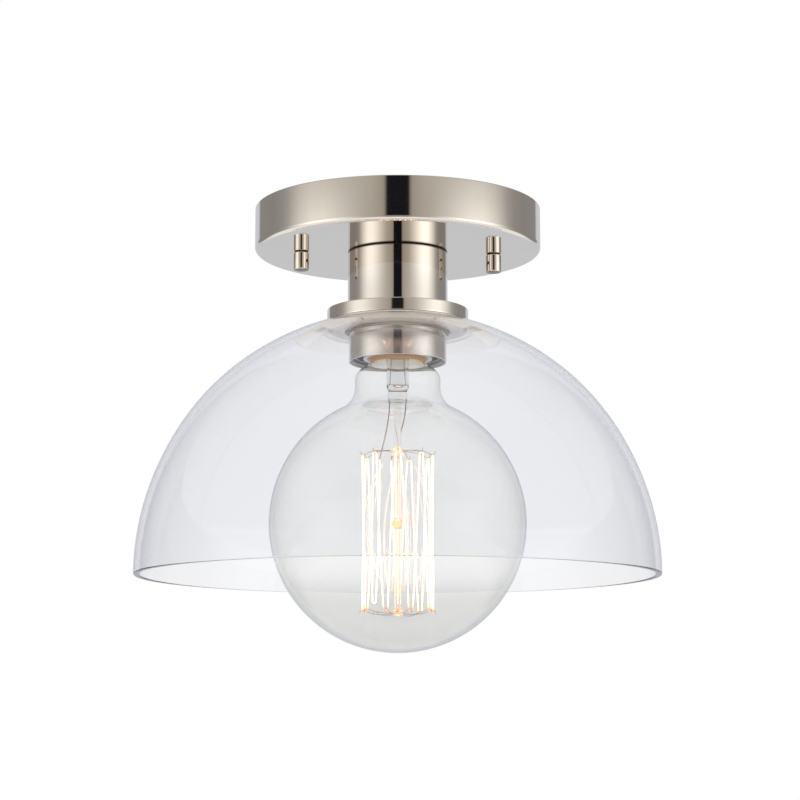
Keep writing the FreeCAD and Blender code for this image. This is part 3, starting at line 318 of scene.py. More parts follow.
def eased(share):
    """share * share * (3 - 2 share), which leaves 0 and reaches 1 without a kink."""
    return share * share * (3 - 2 * share)


def circle(count):
    """Evenly spaced angles once round."""
    return 2 * np.pi * np.arange(count) / count


def arc(middle, radius, start, finish, steps):
    """Points middle + radius * (cos, sin) of evenly spaced angles from start to finish."""
    angles = np.linspace(start, finish, steps + 1)
    return np.array(middle) + radius * np.stack((np.cos(angles), np.sin(angles)), -1)


def run(start, finish, step):
    """Inner points of a straight run: one SUPPORT inside each end and, between these, evenly
    spaced ones at most a step apart."""
    length = np.linalg.norm(finish - start)
    if length < 3 * SUPPORT:
        return np.empty((0, 2))
    inside = np.linspace(SUPPORT, length - SUPPORT, 2 + int((length - 2 * SUPPORT) / step))
    return start + unit(finish - start) * inside[:, None]


def outline(corners, closed=True, step=1.0):
    """Profile through corners (radius, height) or (radius, height, rounding). A rounded corner is
    an arc tangent to its two runs: with h half the angle between them, the arc's middle lies
    rounding / sin(h) from the corner towards the inside of the bend."""
    spots = np.array([corner[:2] for corner in corners], float)
    bends = []
    for i, corner in enumerate(corners):
        free_end = not closed and i in (0, len(corners) - 1)
        if len(corner) == 2 or free_end:
            bends.append(spots[i:i + 1])
            continue
        back = unit(spots[i - 1] - spots[i])
        ahead = unit(spots[(i + 1) % len(spots)] - spots[i])
        half = math.acos(np.clip(back @ ahead, -1, 1)) / 2
        middle = spots[i] + unit(back + ahead) * corner[2] / math.sin(half)
        leaving = spots[i] + back * corner[2] / math.tan(half) - middle
        start = math.atan2(leaving[1], leaving[0])
        side = back[0] * ahead[1] - back[1] * ahead[0]
        sweep = (math.pi - 2 * half) * (-1 if side > 0 else 1)
        steps = max(2, math.ceil(abs(sweep) / ARC_STEP))
        bends.append(arc(middle, corner[2], start, start + sweep, steps))
    rows = []
    for i, bend in enumerate(bends):
        rows.append(bend)
        if closed or i + 1 < len(bends):
            rows.append(run(bend[-1], bends[(i + 1) % len(bends)][0], step))
    return np.concatenate(rows)


def skin(points, closed):
    """Faces of a grid of points (rows, columns, 3) whose columns go round. Rows of one repeated
    point are poles, closed by triangles. Gives points, quads and triangles, facing outwards."""
    rows, columns = points.shape[:2]
    index = np.arange(rows * columns).reshape(rows, columns)
    pole = np.ptp(points, axis=1).max(-1) < POLE_WIDTH
    index[pole] = index[pole, :1]
    lower = index if closed else index[:-1]
    upper = np.roll(index, -1, 0) if closed else index[1:]
    starts = pole if closed else pole[:-1]
    ends = np.roll(pole, -1) if closed else pole[1:]
    quads = np.stack((lower, np.roll(lower, -1, 1), np.roll(upper, -1, 1), upper), -1)
    triangles = np.concatenate((quads[starts][:, :, [0, 2, 3]].reshape(-1, 3),
                                quads[ends][:, :, [0, 1, 2]].reshape(-1, 3)))
    quads = quads[~starts & ~ends].reshape(-1, 4)
    flat = points.reshape(-1, 3)
    halves = np.concatenate((quads[:, [0, 1, 2]], quads[:, [0, 2, 3]], triangles))
    a, b, c = (flat[halves[:, k]] for k in range(3))
    if np.einsum("ij,ij->", a, np.cross(b, c)) < 0:
        quads = quads[:, ::-1]
        triangles = triangles[:, ::-1]
    return flat, quads, triangles


def piece(name, skins, body, replaced, material):
    """One mesh object made of some skins. It rides on a body, stands for CAD nodes and takes the
    finish it is given."""
    offset = 0
    spots, faces = [], []
    for flat, quads, triangles in skins:
        used, fresh = np.unique(np.concatenate((quads.ravel(), triangles.ravel())),
                                return_inverse=True)
        spots.append(flat[used])
        faces += (fresh[:quads.size].reshape(-1, 4) + offset).tolist()
        faces += (fresh[quads.size:].reshape(-1, 3) + offset).tolist()
        offset += len(used)
    mesh = bpy.data.meshes.new(name)
    mesh.from_pydata(np.concatenate(spots), [], faces)
    mesh.shade_smooth()
    mesh.set_sharp_from_angle(angle=SHARP_ANGLE)
    mesh.materials.append(material)
    made = bpy.data.objects.new(name, mesh)
    bpy.context.scene.collection.objects.link(made)
    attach(made, body)
    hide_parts(*replaced)


def turned(profile, around=AROUND, middle=(0, 0), swell=None, closed=True):
    """Skin turned about an upright axis: the profile's point (r, z) at angle a lies at
    (r cos a, r sin a, z) from the axis. swell(r, z, a) gives another radius for a thread."""
    angles = circle(around)
    radius = np.repeat(profile[:, :1], around, 1)
    height = np.repeat(profile[:, 1:], around, 1)
    if swell is not None:
        radius = swell(radius, height, angles)
    points = np.stack((middle[0] + radius * np.cos(angles), middle[1] + radius * np.sin(angles),
                       height), -1)
    return skin(points, closed)


def thread(crest, pitch, depth, bottom, top):
    """Radius of a right-handed screw surface: crest less depth times half of 1 - cos of
    2 pi (z / pitch - a / 2 pi), fading out over a pitch at its bottom and top. A negative depth
    cuts the thread outwards into a bore instead."""
    def swell(radius, height, angles):
        fade = np.clip((height - bottom) / pitch, 0, 1) * np.clip((top - height) / pitch, 0, 1)
        wave = 0.5 - 0.5 * np.cos(2 * np.pi * height / pitch - angles)
        threaded = np.abs(radius - crest) < ON_CREST
        return radius - depth * wave * fade * threaded
    return swell


def swept(path, across, radius):
    """Skin of a round bar along a path of points. Each ring lies square to the path, turned to
    the direction across, and a rounded tip closes each end."""
    along = unit(np.gradient(path, axis=0))
    first = unit(np.cross(along, across))
    second = np.cross(first, along)
    angles = circle(WIRE_SIDES)[:, None]
    ring = first[:, None] * np.cos(angles) + second[:, None] * np.sin(angles)
    body = path[:, None] + radius * ring
    tips = []
    for end, way in ((0, -1), (-1, 1)):
        ahead = way * along[end] * radius
        waist = path[end] + ahead * TIP_RISE + ring[end] * radius * TIP_WAIST
        tip = np.repeat((path[end] + ahead)[None], WIRE_SIDES, 0)
        tips.append(np.stack((tip, waist)[::-way]))
    return skin(np.concatenate((tips[0], body, tips[1])), False)


def bezier(start, pull_start, pull_finish, finish, steps):
    """Points of a cubic curve between two ends, with two points that pull on it."""
    t = np.linspace(0, 1, steps + 1)[:, None]
    return ((1 - t)**3 * np.array(start) + 3 * (1 - t)**2 * t * np.array(pull_start)
            + 3 * (1 - t) * t**2 * np.array(pull_finish) + t**3 * np.array(finish))


def spoke(flat_path, angle):
    """Path of (radius, height) points stood up in the plane at an angle round the axis."""
    radius, height = flat_path.T
    return np.stack((radius * math.cos(angle), radius * math.sin(angle), height), -1)


# ---- node arithmetic ----
class Wire:
    """An output socket. Arithmetic on it adds a Math node and gives that node's output."""

    def __init__(self, tree, socket):
        self.tree = tree
        self.socket = socket

    def math(self, operation, *values):
        return add(self.tree, "ShaderNodeMath", dict(enumerate(values)), operation=operation)

    def __add__(self, other):
        return self.math("ADD", self, other)

    def __radd__(self, other):
        return self.math("ADD", other, self)

    def __sub__(self, other):
        return self.math("SUBTRACT", self, other)

    def __rsub__(self, other):
        return self.math("SUBTRACT", other, self)

    def __mul__(self, other):
        return self.math("MULTIPLY", self, other)

    def __rmul__(self, other):
        return self.math("MULTIPLY", other, self)

    def __truediv__(self, other):
        return self.math("DIVIDE", self, other)

    def clamped(self):
        """Held between 0 and 1."""
        return self.math("MAXIMUM", self.math("MINIMUM", self, 1.0), 0.0)

    def share_of(self, width):
        """0 at 0 and below, rising to 1 at the width and above."""
        return (self / width).clamped()

    def near(self, middle, width):
        """1 at the middle, down to 0 at a width from it."""
        return (1.0 - self.math("ABSOLUTE", self - middle) / width).clamped()

    def twin(self, output):
        """Another output of the same node."""
        return Wire(self.tree, self.socket.node.outputs[output])


def add(tree, kind, inputs=None, output=0, **settings):
    """A node of some kind, with its settings made first and then its sockets set or linked. A
    colour is (red, green, blue)."""
    node = tree.nodes.new(kind)
    for name, value in settings.items():
        if name == "stops":
            lay_stops(node.color_ramp, value)
        else:
            setattr(node, name, value)
    for name, value in (inputs or {}).items():
        socket = node.inputs[name]
        if isinstance(value, Wire):
            tree.links.new(value.socket, socket)
        else:
            socket.default_value = (*value, 1.0) if socket.type == "RGBA" else value
    return Wire(tree, node.outputs[output]) if node.outputs else None


def lay_stops(ramp, stops):
    """Sets a colour ramp's stops from (position, colour) pairs."""
    while len(ramp.elements) < len(stops):
        ramp.elements.new(1.0)
    for element, (position, colour) in zip(ramp.elements, stops):
        element.position = position
        element.color = (*colour, 1.0)


MIX_A, MIX_B, MIX_RESULT = 6, 7, 2      # a Mix node's colour sockets


def blend(tree, factor, first, second, mode="MIX"):
    """Mix node on colours."""
    return add(tree, "ShaderNodeMix", {0: factor, MIX_A: first, MIX_B: second}, MIX_RESULT,
               data_type="RGBA", blend_type=mode)


def parts(vector):
    """The x, y and z of a vector."""
    x = add(vector.tree, "ShaderNodeSeparateXYZ", {0: vector})
    return x, x.twin(1), x.twin(2)


class Paint:
    """A material in the making: its node tree, its pattern coordinates, its Principled shader."""

    def __init__(self, name, middle=(0, 0)):
        self.material = bpy.data.materials.new(name)
        self.material.use_nodes = True
        self.tree = self.material.node_tree
        self.tree.nodes.clear()
        place = add(self.tree, "ShaderNodeTexCoord", output="Object")
        self.place = add(self.tree, "ShaderNodeMapping",
                         {"Vector": place, "Location": (-middle[0], -middle[1], 0)})

    def stretched(self, x, y, z):
        """Pattern coordinates with a scale along each axis, per metre."""
        return add(self.tree, "ShaderNodeMapping", {"Vector": self.place, "Scale": (x, y, z)})

    def noise(self, where, detail, roughness=0.5):
        return add(self.tree, "ShaderNodeTexNoise",
                   {"Vector": where, "Scale": 1.0, "Detail": detail, "Roughness": roughness}, "Fac")

    def clouds(self, scale, detail):
        """Noise that is as fine along every axis."""
        return self.noise(self.stretched(scale, scale, scale), detail)

    def cells(self, scale):
        """Distance to the middle of the nearest of many cells."""
        return add(self.tree, "ShaderNodeTexVoronoi", {"Vector": self.place, "Scale": scale},
                   "Distance")

    def reach(self):
        """Distance from the axis, and height."""
        x, y, z = parts(self.place)
        return x.math("SQRT", x * x + y * y), z

    def lathe_lines(self, across, roughness=0.5):
        """Noise along lathe lines, on the distance from the axis and the height, both times a
        scale across the lines, and a slow change round the axis."""
        radius, height = self.reach()
        slow = add(self.tree, "ShaderNodeVectorMath", {0: self.place, 1: (12.0, 12.0, 0.0)},
                   "Value", operation="DOT_PRODUCT")
        where = add(self.tree, "ShaderNodeCombineXYZ",
                    {0: radius * across, 1: height * across, 2: slow})
        return self.noise(where, 3.0, roughness)

    def blend(self, factor, first, second, mode="MIX"):
        return blend(self.tree, factor, first, second, mode)

    def bump(self, height, distance):
        return add(self.tree, "ShaderNodeBump", {"Height": height, "Distance": distance})

    def done(self, **sockets):
        """The material, with its Principled shader's sockets named in words joined by _."""
        inputs = {name.replace("_", " "): value for name, value in sockets.items()}
        shader = add(self.tree, "ShaderNodeBsdfPrincipled", inputs)
        add(self.tree, "ShaderNodeOutputMaterial", {"Surface": shader})
        return self.material


# ---- finishes ----
def polished_nickel(name, middle=(0, 0), roughness=0.08, seam=None, dull_shaded_inside=None,
                    mirror_below=None, foot=None):
    """Warm nickel plate over fine lathe polish: lines round the axis a quarter of a millimetre
    apart and faint cloudiness in the plate. Painted shade puts a near-black band along the joint
    line at the height seam and darkens everything nearer the axis than the radius given for the
    inside, which is also rougher, the face below mirror_below is a mirror, and the end face at
    the height foot is darker."""
    paint = Paint(name, middle)
    radius, height = paint.reach()
    lines = paint.lathe_lines(4200.0, roughness=0.7)
    clouds = paint.noise(paint.stretched(55, 55, 90), 3.0)
    colour = paint.blend(clouds, *NICKEL)
    gloss = 0.7 * roughness + roughness * 0.4 * lines + 0.01 * clouds
    if mirror_below is not None:
        gloss = gloss * (0.25 + 0.75 * (height - mirror_below).share_of(0.0004))
    # painted shade: nearer the axis than the given radius the nickel is darkened, and also made
    # rougher
    if dull_shaded_inside is not None:
        dull_and_shaded = (dull_shaded_inside - radius).share_of(0.0002)
        colour = paint.blend(dull_and_shaded, colour, DULL_SHADED_NICKEL)
        gloss = gloss + 0.35 * dull_and_shaded
    # painted shade: a near-black band along the joint line at the height seam
    if seam is not None:
        seam_shade = 1.0 - (seam - 0.00035 - height).share_of(0.0008)
        colour = paint.blend(seam_shade, colour, PAINTED_SEAM_SHADE)
    # the lower end face is made darker
    if foot is not None:
        darker_end = (foot + 0.00018 - height).share_of(0.0001)
        colour = paint.blend(darker_end, colour, DARKER_END_FACE)
        gloss = gloss + 0.3 * darker_end
    return paint.done(Base_Color=colour, Metallic=1.0, Roughness=gloss, Anisotropic=0.6,
                      Anisotropic_Rotation=0.25, Normal=paint.bump(lines, 0.0000008))


def plated_steel():
    """Bright zinc plate on rolled steel: bluish grey with soft crystal patches and rolling
    lines."""
    paint = Paint("zinc_plated_steel")
    patches = paint.cells(420.0)
    rolling = paint.noise(paint.stretched(60, 1500, 1500), 3.0)
    return paint.done(Base_Color=paint.blend(rolling, *ZINC), Metallic=1.0,
                      Roughness=0.26 + 0.12 * rolling + 0.05 * patches,
                      Normal=paint.bump(rolling, 0.00001))


def clear_glass(name, tint, wave_scale, wave_height, gleam=WHITE, painted_shade_below=None):
    """Clear glass with a faint tint and the slow waves of blown glass. gleam is the tint of its
    reflections. The optional height and grey give painted shade: below that height the glass
    turns to the grey, most of it within 12 mm, and all its edge-on parts look a little green."""
    paint = Paint(name)
    waves = paint.noise(paint.stretched(wave_scale, wave_scale, wave_scale * 0.7), 1.0)
    colour = paint.blend(waves, tint, tuple(channel * 0.985 for channel in tint))
    if painted_shade_below is not None:
        # painted shade: below the given height the glass darkens to the grey
        painted_shade_top, grey = painted_shade_below
        below = painted_shade_top - paint.reach()[1]
        depth = below.share_of(0.012) * 0.8 + (below - 0.012).share_of(0.020) * 0.2
        colour = paint.blend(depth, colour, grey)
        facing = add(paint.tree, "ShaderNodeLayerWeight", output="Facing")
        colour = paint.blend((facing - 0.45).share_of(0.5), colour, EDGE_ON_GLASS, "MULTIPLY")
    return paint.done(Base_Color=colour, Roughness=0.0, IOR=1.47, Transmission_Weight=1.0,
                      Specular_Tint=gleam, Normal=paint.bump(waves, wave_height))


def porcelain():
    """White glaze with fine orange peel and faint clouds."""
    paint = Paint("glazed_porcelain")
    peel = paint.clouds(700, 2.0)
    clouds = paint.clouds(160, 4.0)
    return paint.done(Base_Color=paint.blend(clouds, *GLAZE), Roughness=0.16 + 0.06 * clouds,
                      Coat_Weight=0.5, Normal=paint.bump(peel, 0.00002))


def brass(name):
    """Drawn brass with fine lathe lines and darker clouds."""
    paint = Paint(name)
    lines = paint.lathe_lines(2600.0)
    clouds = paint.clouds(240, 4.0)
    return paint.done(Base_Color=paint.blend(clouds, *BRASS), Metallic=1.0,
                      Roughness=0.2 + 0.12 * lines + 0.1 * clouds,
                      Normal=paint.bump(lines, 0.000004))


def cap_brass():
    """The cap's brass, plain and a little cloudy outside. Inside it is covered with the cream
    cement that holds the glass. Painted glow stands for the filament's light: on the cement near
    the mouth, and warmer on the outside of the skirt near its lower edge."""
    paint = Paint("cap_brass")
    radius, height = paint.reach()
    under, fade = 0.0002, 0.0001    # cement starts this far under the outer faces
    in_skirt = ((cap_high.x - under - radius).share_of(fade)
                * (SKIRT_TOP - under - height).share_of(fade))
    in_thread = ((CAP_ROOT - under - radius).share_of(fade)
                 * (THREAD_TOP - 0.0005 - height).share_of(fade))
    inside = (in_skirt + in_thread).clamped()
    lines = paint.lathe_lines(2600.0)
    clouds = paint.clouds(240, 4.0)
    metal = paint.blend(clouds, *CAP_BRASS)
    cement = paint.blend(clouds, *CEMENT)
    depth = (height - cap_low.z).share_of(0.008)
    # painted glow: warm emission on the outside of the skirt near its lower edge, for the
    # filament's light
    skirt_glow_area = height.near(cap_low.z - SKIRT_DROP, 0.005) * (1.0 - inside)
    warm = paint.blend(skirt_glow_area, BLACK, PAINTED_SKIRT_GLOW)
    # painted glow: the cement near the mouth emits, fading upwards, for the filament's light
    glow = paint.blend(inside * (1.0 - depth), warm, PAINTED_CEMENT_GLOW)
    return paint.done(Base_Color=paint.blend(inside, metal, cement),
                      Metallic=0.15 - 0.15 * inside,
                      Roughness=0.38 + 0.12 * lines + 0.1 * clouds + 0.3 * inside,
                      Emission_Color=glow, Emission_Strength=1.0,
                      Normal=paint.bump(lines, 0.000004))


def hot_filament():
    """Glowing wire: white hot along the strands and cooler, more orange, where the hooks draw
    heat off. The close turns of the coiled wire show as a fine ripple."""
    paint = Paint("hot_filament_wire")
    height = paint.reach()[1]
    cool_end = 0.004
    heat = (CAGE_TOP - height).share_of(cool_end) * (height - CAGE_BOTTOM).share_of(cool_end)
    coil = add(paint.tree, "ShaderNodeTexWave",
               {"Vector": paint.place, "Scale": 700.0, "Distortion": 1.0}, "Fac",
               bands_direction="Z")
    glow = paint.blend(heat * 0.9 + coil * 0.1, *FILAMENT_GLOW)
    return paint.done(Base_Color=FILAMENT_WIRE, Metallic=1.0, Roughness=0.4 + 0.2 * coil,
                      Emission_Color=glow, Emission_Strength=11.0,
                      Normal=paint.bump(coil, 0.00005))


def painted_glow_wire(name, glow, strength):
    """Support wire with a painted, uneven glow and a warm base colour, standing for the
    filament's light on it.
    """
    paint = Paint(name)
    patches = paint.clouds(700, 2.0)
    # painted glow: the wire emits in patches and its base colour is warm, for the filament's light
    brighter_glow = (glow[0], glow[1] * 1.2, glow[2] * 1.5)
    return paint.done(Base_Color=paint.blend(patches, *PAINTED_WARM_WIRE), Metallic=1.0,
                      Roughness=0.3 + 0.2 * patches,
                      Emission_Color=paint.blend(patches, glow, brighter_glow),
                      Emission_Strength=strength)


def painted_glow_glass(name, tint, glow, strength):
    """Clear glass of the cage's core with a painted glow standing for the strands' light in it,
    strongest at the beads, where the glass is also painted amber."""
    paint = Paint(name)
    waves = paint.noise(paint.stretched(300, 300, 160), 2.0)
    height = paint.reach()[1]
    bead_glow_mask = (height.near(CAGE_TOP + BEAD_LIFT, 0.004)
                 + height.near(CAGE_BOTTOM - BEAD_LIFT, 0.004))
    inside = (CAGE_TOP - height).share_of(0.02) * (height - CAGE_BOTTOM).share_of(0.01)
    # painted glow: emission at the beads and, fainter, along the rod inside the cage, for the
    # strands' light
    light = paint.blend((bead_glow_mask + inside * 0.35 * waves).clamped(), BLACK, glow)
    # painted glow colour: the glass at the beads is tinted amber
    colour = paint.blend(bead_glow_mask.clamped(), ROD_GLASS, tint)
    return paint.done(Base_Color=colour, Roughness=0.0, IOR=1.5, Transmission_Weight=1.0,
                      Emission_Color=light, Emission_Strength=strength,
                      Normal=paint.bump(waves, 0.00003))


def support_wire():
    """Drawn grey wire with long die marks."""
    paint = Paint("drawn_support_wire")
    marks = paint.noise(paint.stretched(900, 900, 200), 2.0)
    return paint.done(Base_Color=paint.blend(marks, *DRAWN_WIRE), Metallic=1.0,
                      Roughness=0.3 + 0.15 * marks)


def moulded(name, shades, roughness):
    """Moulded plastic or rubber: two close shades in clouds, and a fine grain."""
    paint = Paint(name)
    clouds = paint.clouds(130, 4.0)
    grain = paint.clouds(2600.0, 2.0)
    return paint.done(Base_Color=paint.blend(clouds, *shades),
                      Roughness=roughness - 0.05 + 0.1 * clouds,
                      Normal=paint.bump(grain, 0.00002))


def copper():
    """Bare copper wire, browned in patches."""
    paint = Paint("bare_copper_wire")
    patches = paint.clouds(300, 4.0)
    return paint.done(Base_Color=paint.blend(patches, *COPPER), Metallic=1.0,
                      Roughness=0.22 + 0.2 * patches)


def solder():
    """Dull solder with a frosted, pitted face."""
    paint = Paint("dull_solder")
    pits = paint.cells(1500.0)
    return paint.done(Base_Color=paint.blend(pits, *SOLDER), Metallic=1.0,
                      Roughness=0.35 + 0.2 * pits, Normal=paint.bump(pits, 0.00006))


# ---- turned metal ----
def make_canopy(nickel):
    """Drawn cup with a rolled ceiling edge, a rounded lower edge and a mirror-flat underside."""
    radius = canopy_high.x
    inner = radius - CANOPY_WALL
    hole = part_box("nipple")[1].x + NIPPLE_CLEARANCE
    floor = canopy_low.z + CANOPY_WALL
    profile = outline([(hole, canopy_low.z, EDGE_BREAK),
                       (radius, canopy_low.z, CANOPY_EDGE_ROUND),
                       (radius, canopy_high.z, CANOPY_RIM_ROUND),
                       (inner, canopy_high.z, CANOPY_RIM_ROUND),
                       (inner, floor, CANOPY_EDGE_ROUND - CANOPY_WALL),
                       (hole, floor, EDGE_BREAK)])
    piece("canopy_cup", [turned(profile, CANOPY_AROUND)], "fixture", ["canopy"],
          nickel)


def make_knob(side, nickel):
    """Blind knob nut with a rounded lower edge."""
    low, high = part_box("knob_nut_" + side)
    middle = ((low.x + high.x) / 2, 0)
    radius = (high.x - low.x) / 2
    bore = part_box("canopy_studs")[1].y
    depth = high.z - KNOB_BORE_DEPTH
    profile = outline([(0, low.z),
                       (radius, low.z, KNOB_EDGE_ROUND),
                       (radius, high.z, KNOB_TOP_ROUND),
                       (bore, high.z, WASHER_ROUND),
                       (bore, depth),
                       (0, depth)], closed=False)
    piece("knob_" + side, [turned(profile, SMALL_AROUND, middle, closed=False)], "knob_" + side,
          ["knob_nut_" + side], nickel)


def make_washer(side, fibre):
    """Flat ring with eased edges, between a knob and the canopy."""
    low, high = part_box("knob_washer_" + side)
    middle = ((low.x + high.x) / 2, 0)
    radius = (high.x - low.x) / 2
    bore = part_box("canopy_studs")[1].y + WASHER_CLEARANCE
    bottom = low.z + WASHER_SEAT_GAP
    profile = outline([(bore, bottom, WASHER_ROUND), (radius, bottom, WASHER_ROUND),
                       (radius, high.z, WASHER_ROUND), (bore, high.z, WASHER_ROUND)])
    piece("fibre_washer_" + side, [turned(profile, SMALL_AROUND, middle)], "washer_" + side,
          ["knob_washer_" + side], fibre)


def make_studs(steel):
    """Two threaded studs with bevelled tips."""
    low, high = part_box("canopy_studs")
    radius = high.y
    profile = outline([(0, low.z), (radius * (1 - STUD_BEVEL), low.z),
                       (radius, low.z + radius * STUD_BEVEL), (radius, high.z), (0, high.z)],
                      closed=False, step=STUD_PITCH / FINE_ROWS)
    swell = thread(radius, STUD_PITCH, STUD_THREAD_DEPTH, low.z, high.z)
    skins = [turned(profile, STUD_AROUND, (x, 0), swell, closed=False)
             for x in (low.x + radius, high.x - radius)]
    piece("threaded_studs", skins, "fixture", ["canopy_studs"], steel)


def make_nipple(steel):
    """Threaded tube that clamps canopy and neck together."""
    low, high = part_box("nipple")
    profile = outline([(NIPPLE_BORE, low.z), (high.x, low.z), (high.x, high.z),
                       (NIPPLE_BORE, high.z)], step=NIPPLE_PITCH / FINE_ROWS)
    swell = thread(high.x, NIPPLE_PITCH, NIPPLE_THREAD_DEPTH, low.z, high.z)
    piece("threaded_nipple", [turned(profile, NIPPLE_AROUND, swell=swell)], "fixture",
          ["nipple"], steel)


def make_neck(nickel):
    """Neck cup with its threaded spigot."""
    radius = neck_high.x
    spigot_bore = SPIGOT_RADIUS - SPIGOT_WALL
    inner = radius - NECK_WALL
    ceiling = neck_high.z - NECK_TOP
    foot = flange_high.z + NECK_FOOT
    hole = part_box("nipple")[1].x + NIPPLE_CLEARANCE
    wall = outline([(hole, neck_high.z, EDGE_BREAK), (radius, neck_high.z, NECK_TOP_ROUND),
                    (radius, flange_high.z, EDGE_BREAK / 3), (SPIGOT_RADIUS, flange_high.z)],
                   closed=False)
    spigot = outline([(SPIGOT_RADIUS, flange_high.z - SUPPORT),
                      (SPIGOT_RADIUS, neck_low.z + SUPPORT)],
                     closed=False, step=SPIGOT_PITCH / SPIGOT_ROWS)
    inside = outline([(SPIGOT_RADIUS - EDGE_BREAK, neck_low.z),
                      (spigot_bore, neck_low.z, EDGE_BREAK), (spigot_bore, foot), (inner, foot),
                      (inner, ceiling, NECK_TOP_ROUND), (hole, ceiling)], closed=False)
    swell = thread(SPIGOT_RADIUS, SPIGOT_PITCH, SPIGOT_THREAD_DEPTH, neck_low.z, flange_low.z)
    piece("neck_and_spigot", [turned(np.concatenate((wall, spigot, inside)), swell=swell)],
          "fixture", ["socket_housing"], nickel)


def make_flange(nickel):
    """Thick ring above the bowl."""
    bore = SPIGOT_RADIUS + FLANGE_CLEARANCE
    profile = outline([(bore, flange_low.z, EDGE_BREAK),
                       (flange_high.x, flange_low.z, FLANGE_LOWER_ROUND),
                       (flange_high.x, flange_high.z, FLANGE_UPPER_ROUND),
                       (bore, flange_high.z)])
    piece("flange_ring", [turned(profile)], "fixture", ["shade_flange"],
          nickel)


def make_collar(nickel):
    """Plain collar, threaded inside, its mouth opened by a chamfer."""
    radius = collar_high.x
    lip = radius - COLLAR_LIP
    mouth = collar_low.z + MOUTH_SHIFT
    chamfer_top = mouth + lip - COLLAR_BORE
    outside = outline([(COLLAR_BORE, chamfer_top), (lip, mouth, EDGE_BREAK / 3),
                       (radius, mouth, EDGE_BREAK / 2),
                       (radius, collar_high.z, COLLAR_TOP_ROUND),
                       (COLLAR_BORE + EDGE_BREAK, collar_high.z)], closed=False)
    bore = outline([(COLLAR_BORE, collar_high.z - EDGE_BREAK),
                    (COLLAR_BORE, chamfer_top + SUPPORT)],
                   closed=False, step=SPIGOT_PITCH / SPIGOT_ROWS)
    swell = thread(COLLAR_BORE, SPIGOT_PITCH, -COLLAR_THREAD_DEPTH, chamfer_top, collar_high.z)
    piece("threaded_collar", [turned(np.concatenate((outside, bore)), swell=swell)], "collar",
          ["retaining_collar"], nickel)


# ---- glass bowl ----
def bowl_side(inset):
    """One side of the bowl from crown to rim, moved inwards: a flat crown, a rounded shoulder and
    a dome about the middle of the rim, a little fuller high up: its radius grows by the fullness
    times the eased share of the way from 20 to 50 degrees above the rim."""
    rim_z = shade_low.z + SHADE_WALL / 2
    dome = shade_high.x - inset
    rounding = SHADE_CROWN_ROUND - inset
    crown = shade_high.z - inset
    rise = crown - rounding - rim_z
    reach = math.sqrt((dome + SHADE_FULLNESS - rounding)**2 - rise**2)
    slope = math.atan2(rise, reach)
    shoulder = arc((reach, crown - rounding), rounding, math.pi / 2, slope, SHOULDER_STEPS)
    angles = np.linspace(slope, 0, SHADE_RINGS + 1)[1:]
    share = np.clip((np.degrees(angles) - FULL_FROM) / FULL_SPAN, 0, 1)
    radii = dome + SHADE_FULLNESS * eased(share)
    belly = np.stack((radii * np.cos(angles), rim_z + radii * np.sin(angles)), -1)
    flat = outline([(SHADE_HOLE, crown), tuple(shoulder[0])], closed=False)[:-1]
    return np.concatenate((flat, shoulder, belly))


def make_bowl(glass):
    """Blown bowl of even wall whose rim is ground flat, with both edges eased."""
    outer = bowl_side(0)
    inner = bowl_side(SHADE_WALL)[::-1]
    rim = outline([tuple(outer[-1]), (outer[-1, 0], shade_low.z, SHADE_RIM_ROUND),
                   (inner[0, 0], shade_low.z, SHADE_RIM_ROUND), tuple(inner[0])],
                  closed=False)[1:-1]
    piece("glass_bowl", [turned(np.concatenate((outer, rim, inner)), BOWL_AROUND)], "shade",
          ["glass_shade"], glass)


# ---- lampholder ----
def make_holder(glaze):
    """Porcelain lampholder with a softly rounded rim."""
    radius = holder_high.x
    floor = holder_high.z - HOLDER_FLOOR
    mouth = holder_low.z + MOUTH_SHIFT
    profile = outline([(0, holder_high.z), (radius, holder_high.z, HOLDER_TOP_ROUND),
                       (radius, mouth, HOLDER_RIM_ROUND),
                       (HOLDER_BORE, mouth, HOLDER_MOUTH_ROUND),
                       (HOLDER_BORE, floor, EDGE_BREAK), (0, floor)], closed=False)
    piece("porcelain_holder", [turned(profile, closed=False)], "fixture", ["lampholder_body"],
          glaze)


def make_shell(metal):
    """Pressed screw shell with its rolled thread."""
    outer = shell_high.x
    inner = outer - SHELL_WALL
    under = shell_high.z - SHELL_WALL
    outside = outline([(SHELL_HOLE, under), (SHELL_HOLE, shell_high.z),
                       (outer, shell_high.z, EDGE_BREAK),
                       (outer, shell_low.z, EDGE_BREAK / 2)], closed=False)
    inside = outline([(inner, shell_low.z), (inner, under)], closed=False,
                     step=CAP_PITCH / SHELL_ROWS)
    swell = thread(inner, CAP_PITCH, SHELL_THREAD_DEPTH, shell_low.z, shell_high.z)
    piece("threaded_shell",
          [turned(np.concatenate((outside, inside)), SHELL_AROUND, swell=swell)], "fixture",
          ["screw_shell"], metal)


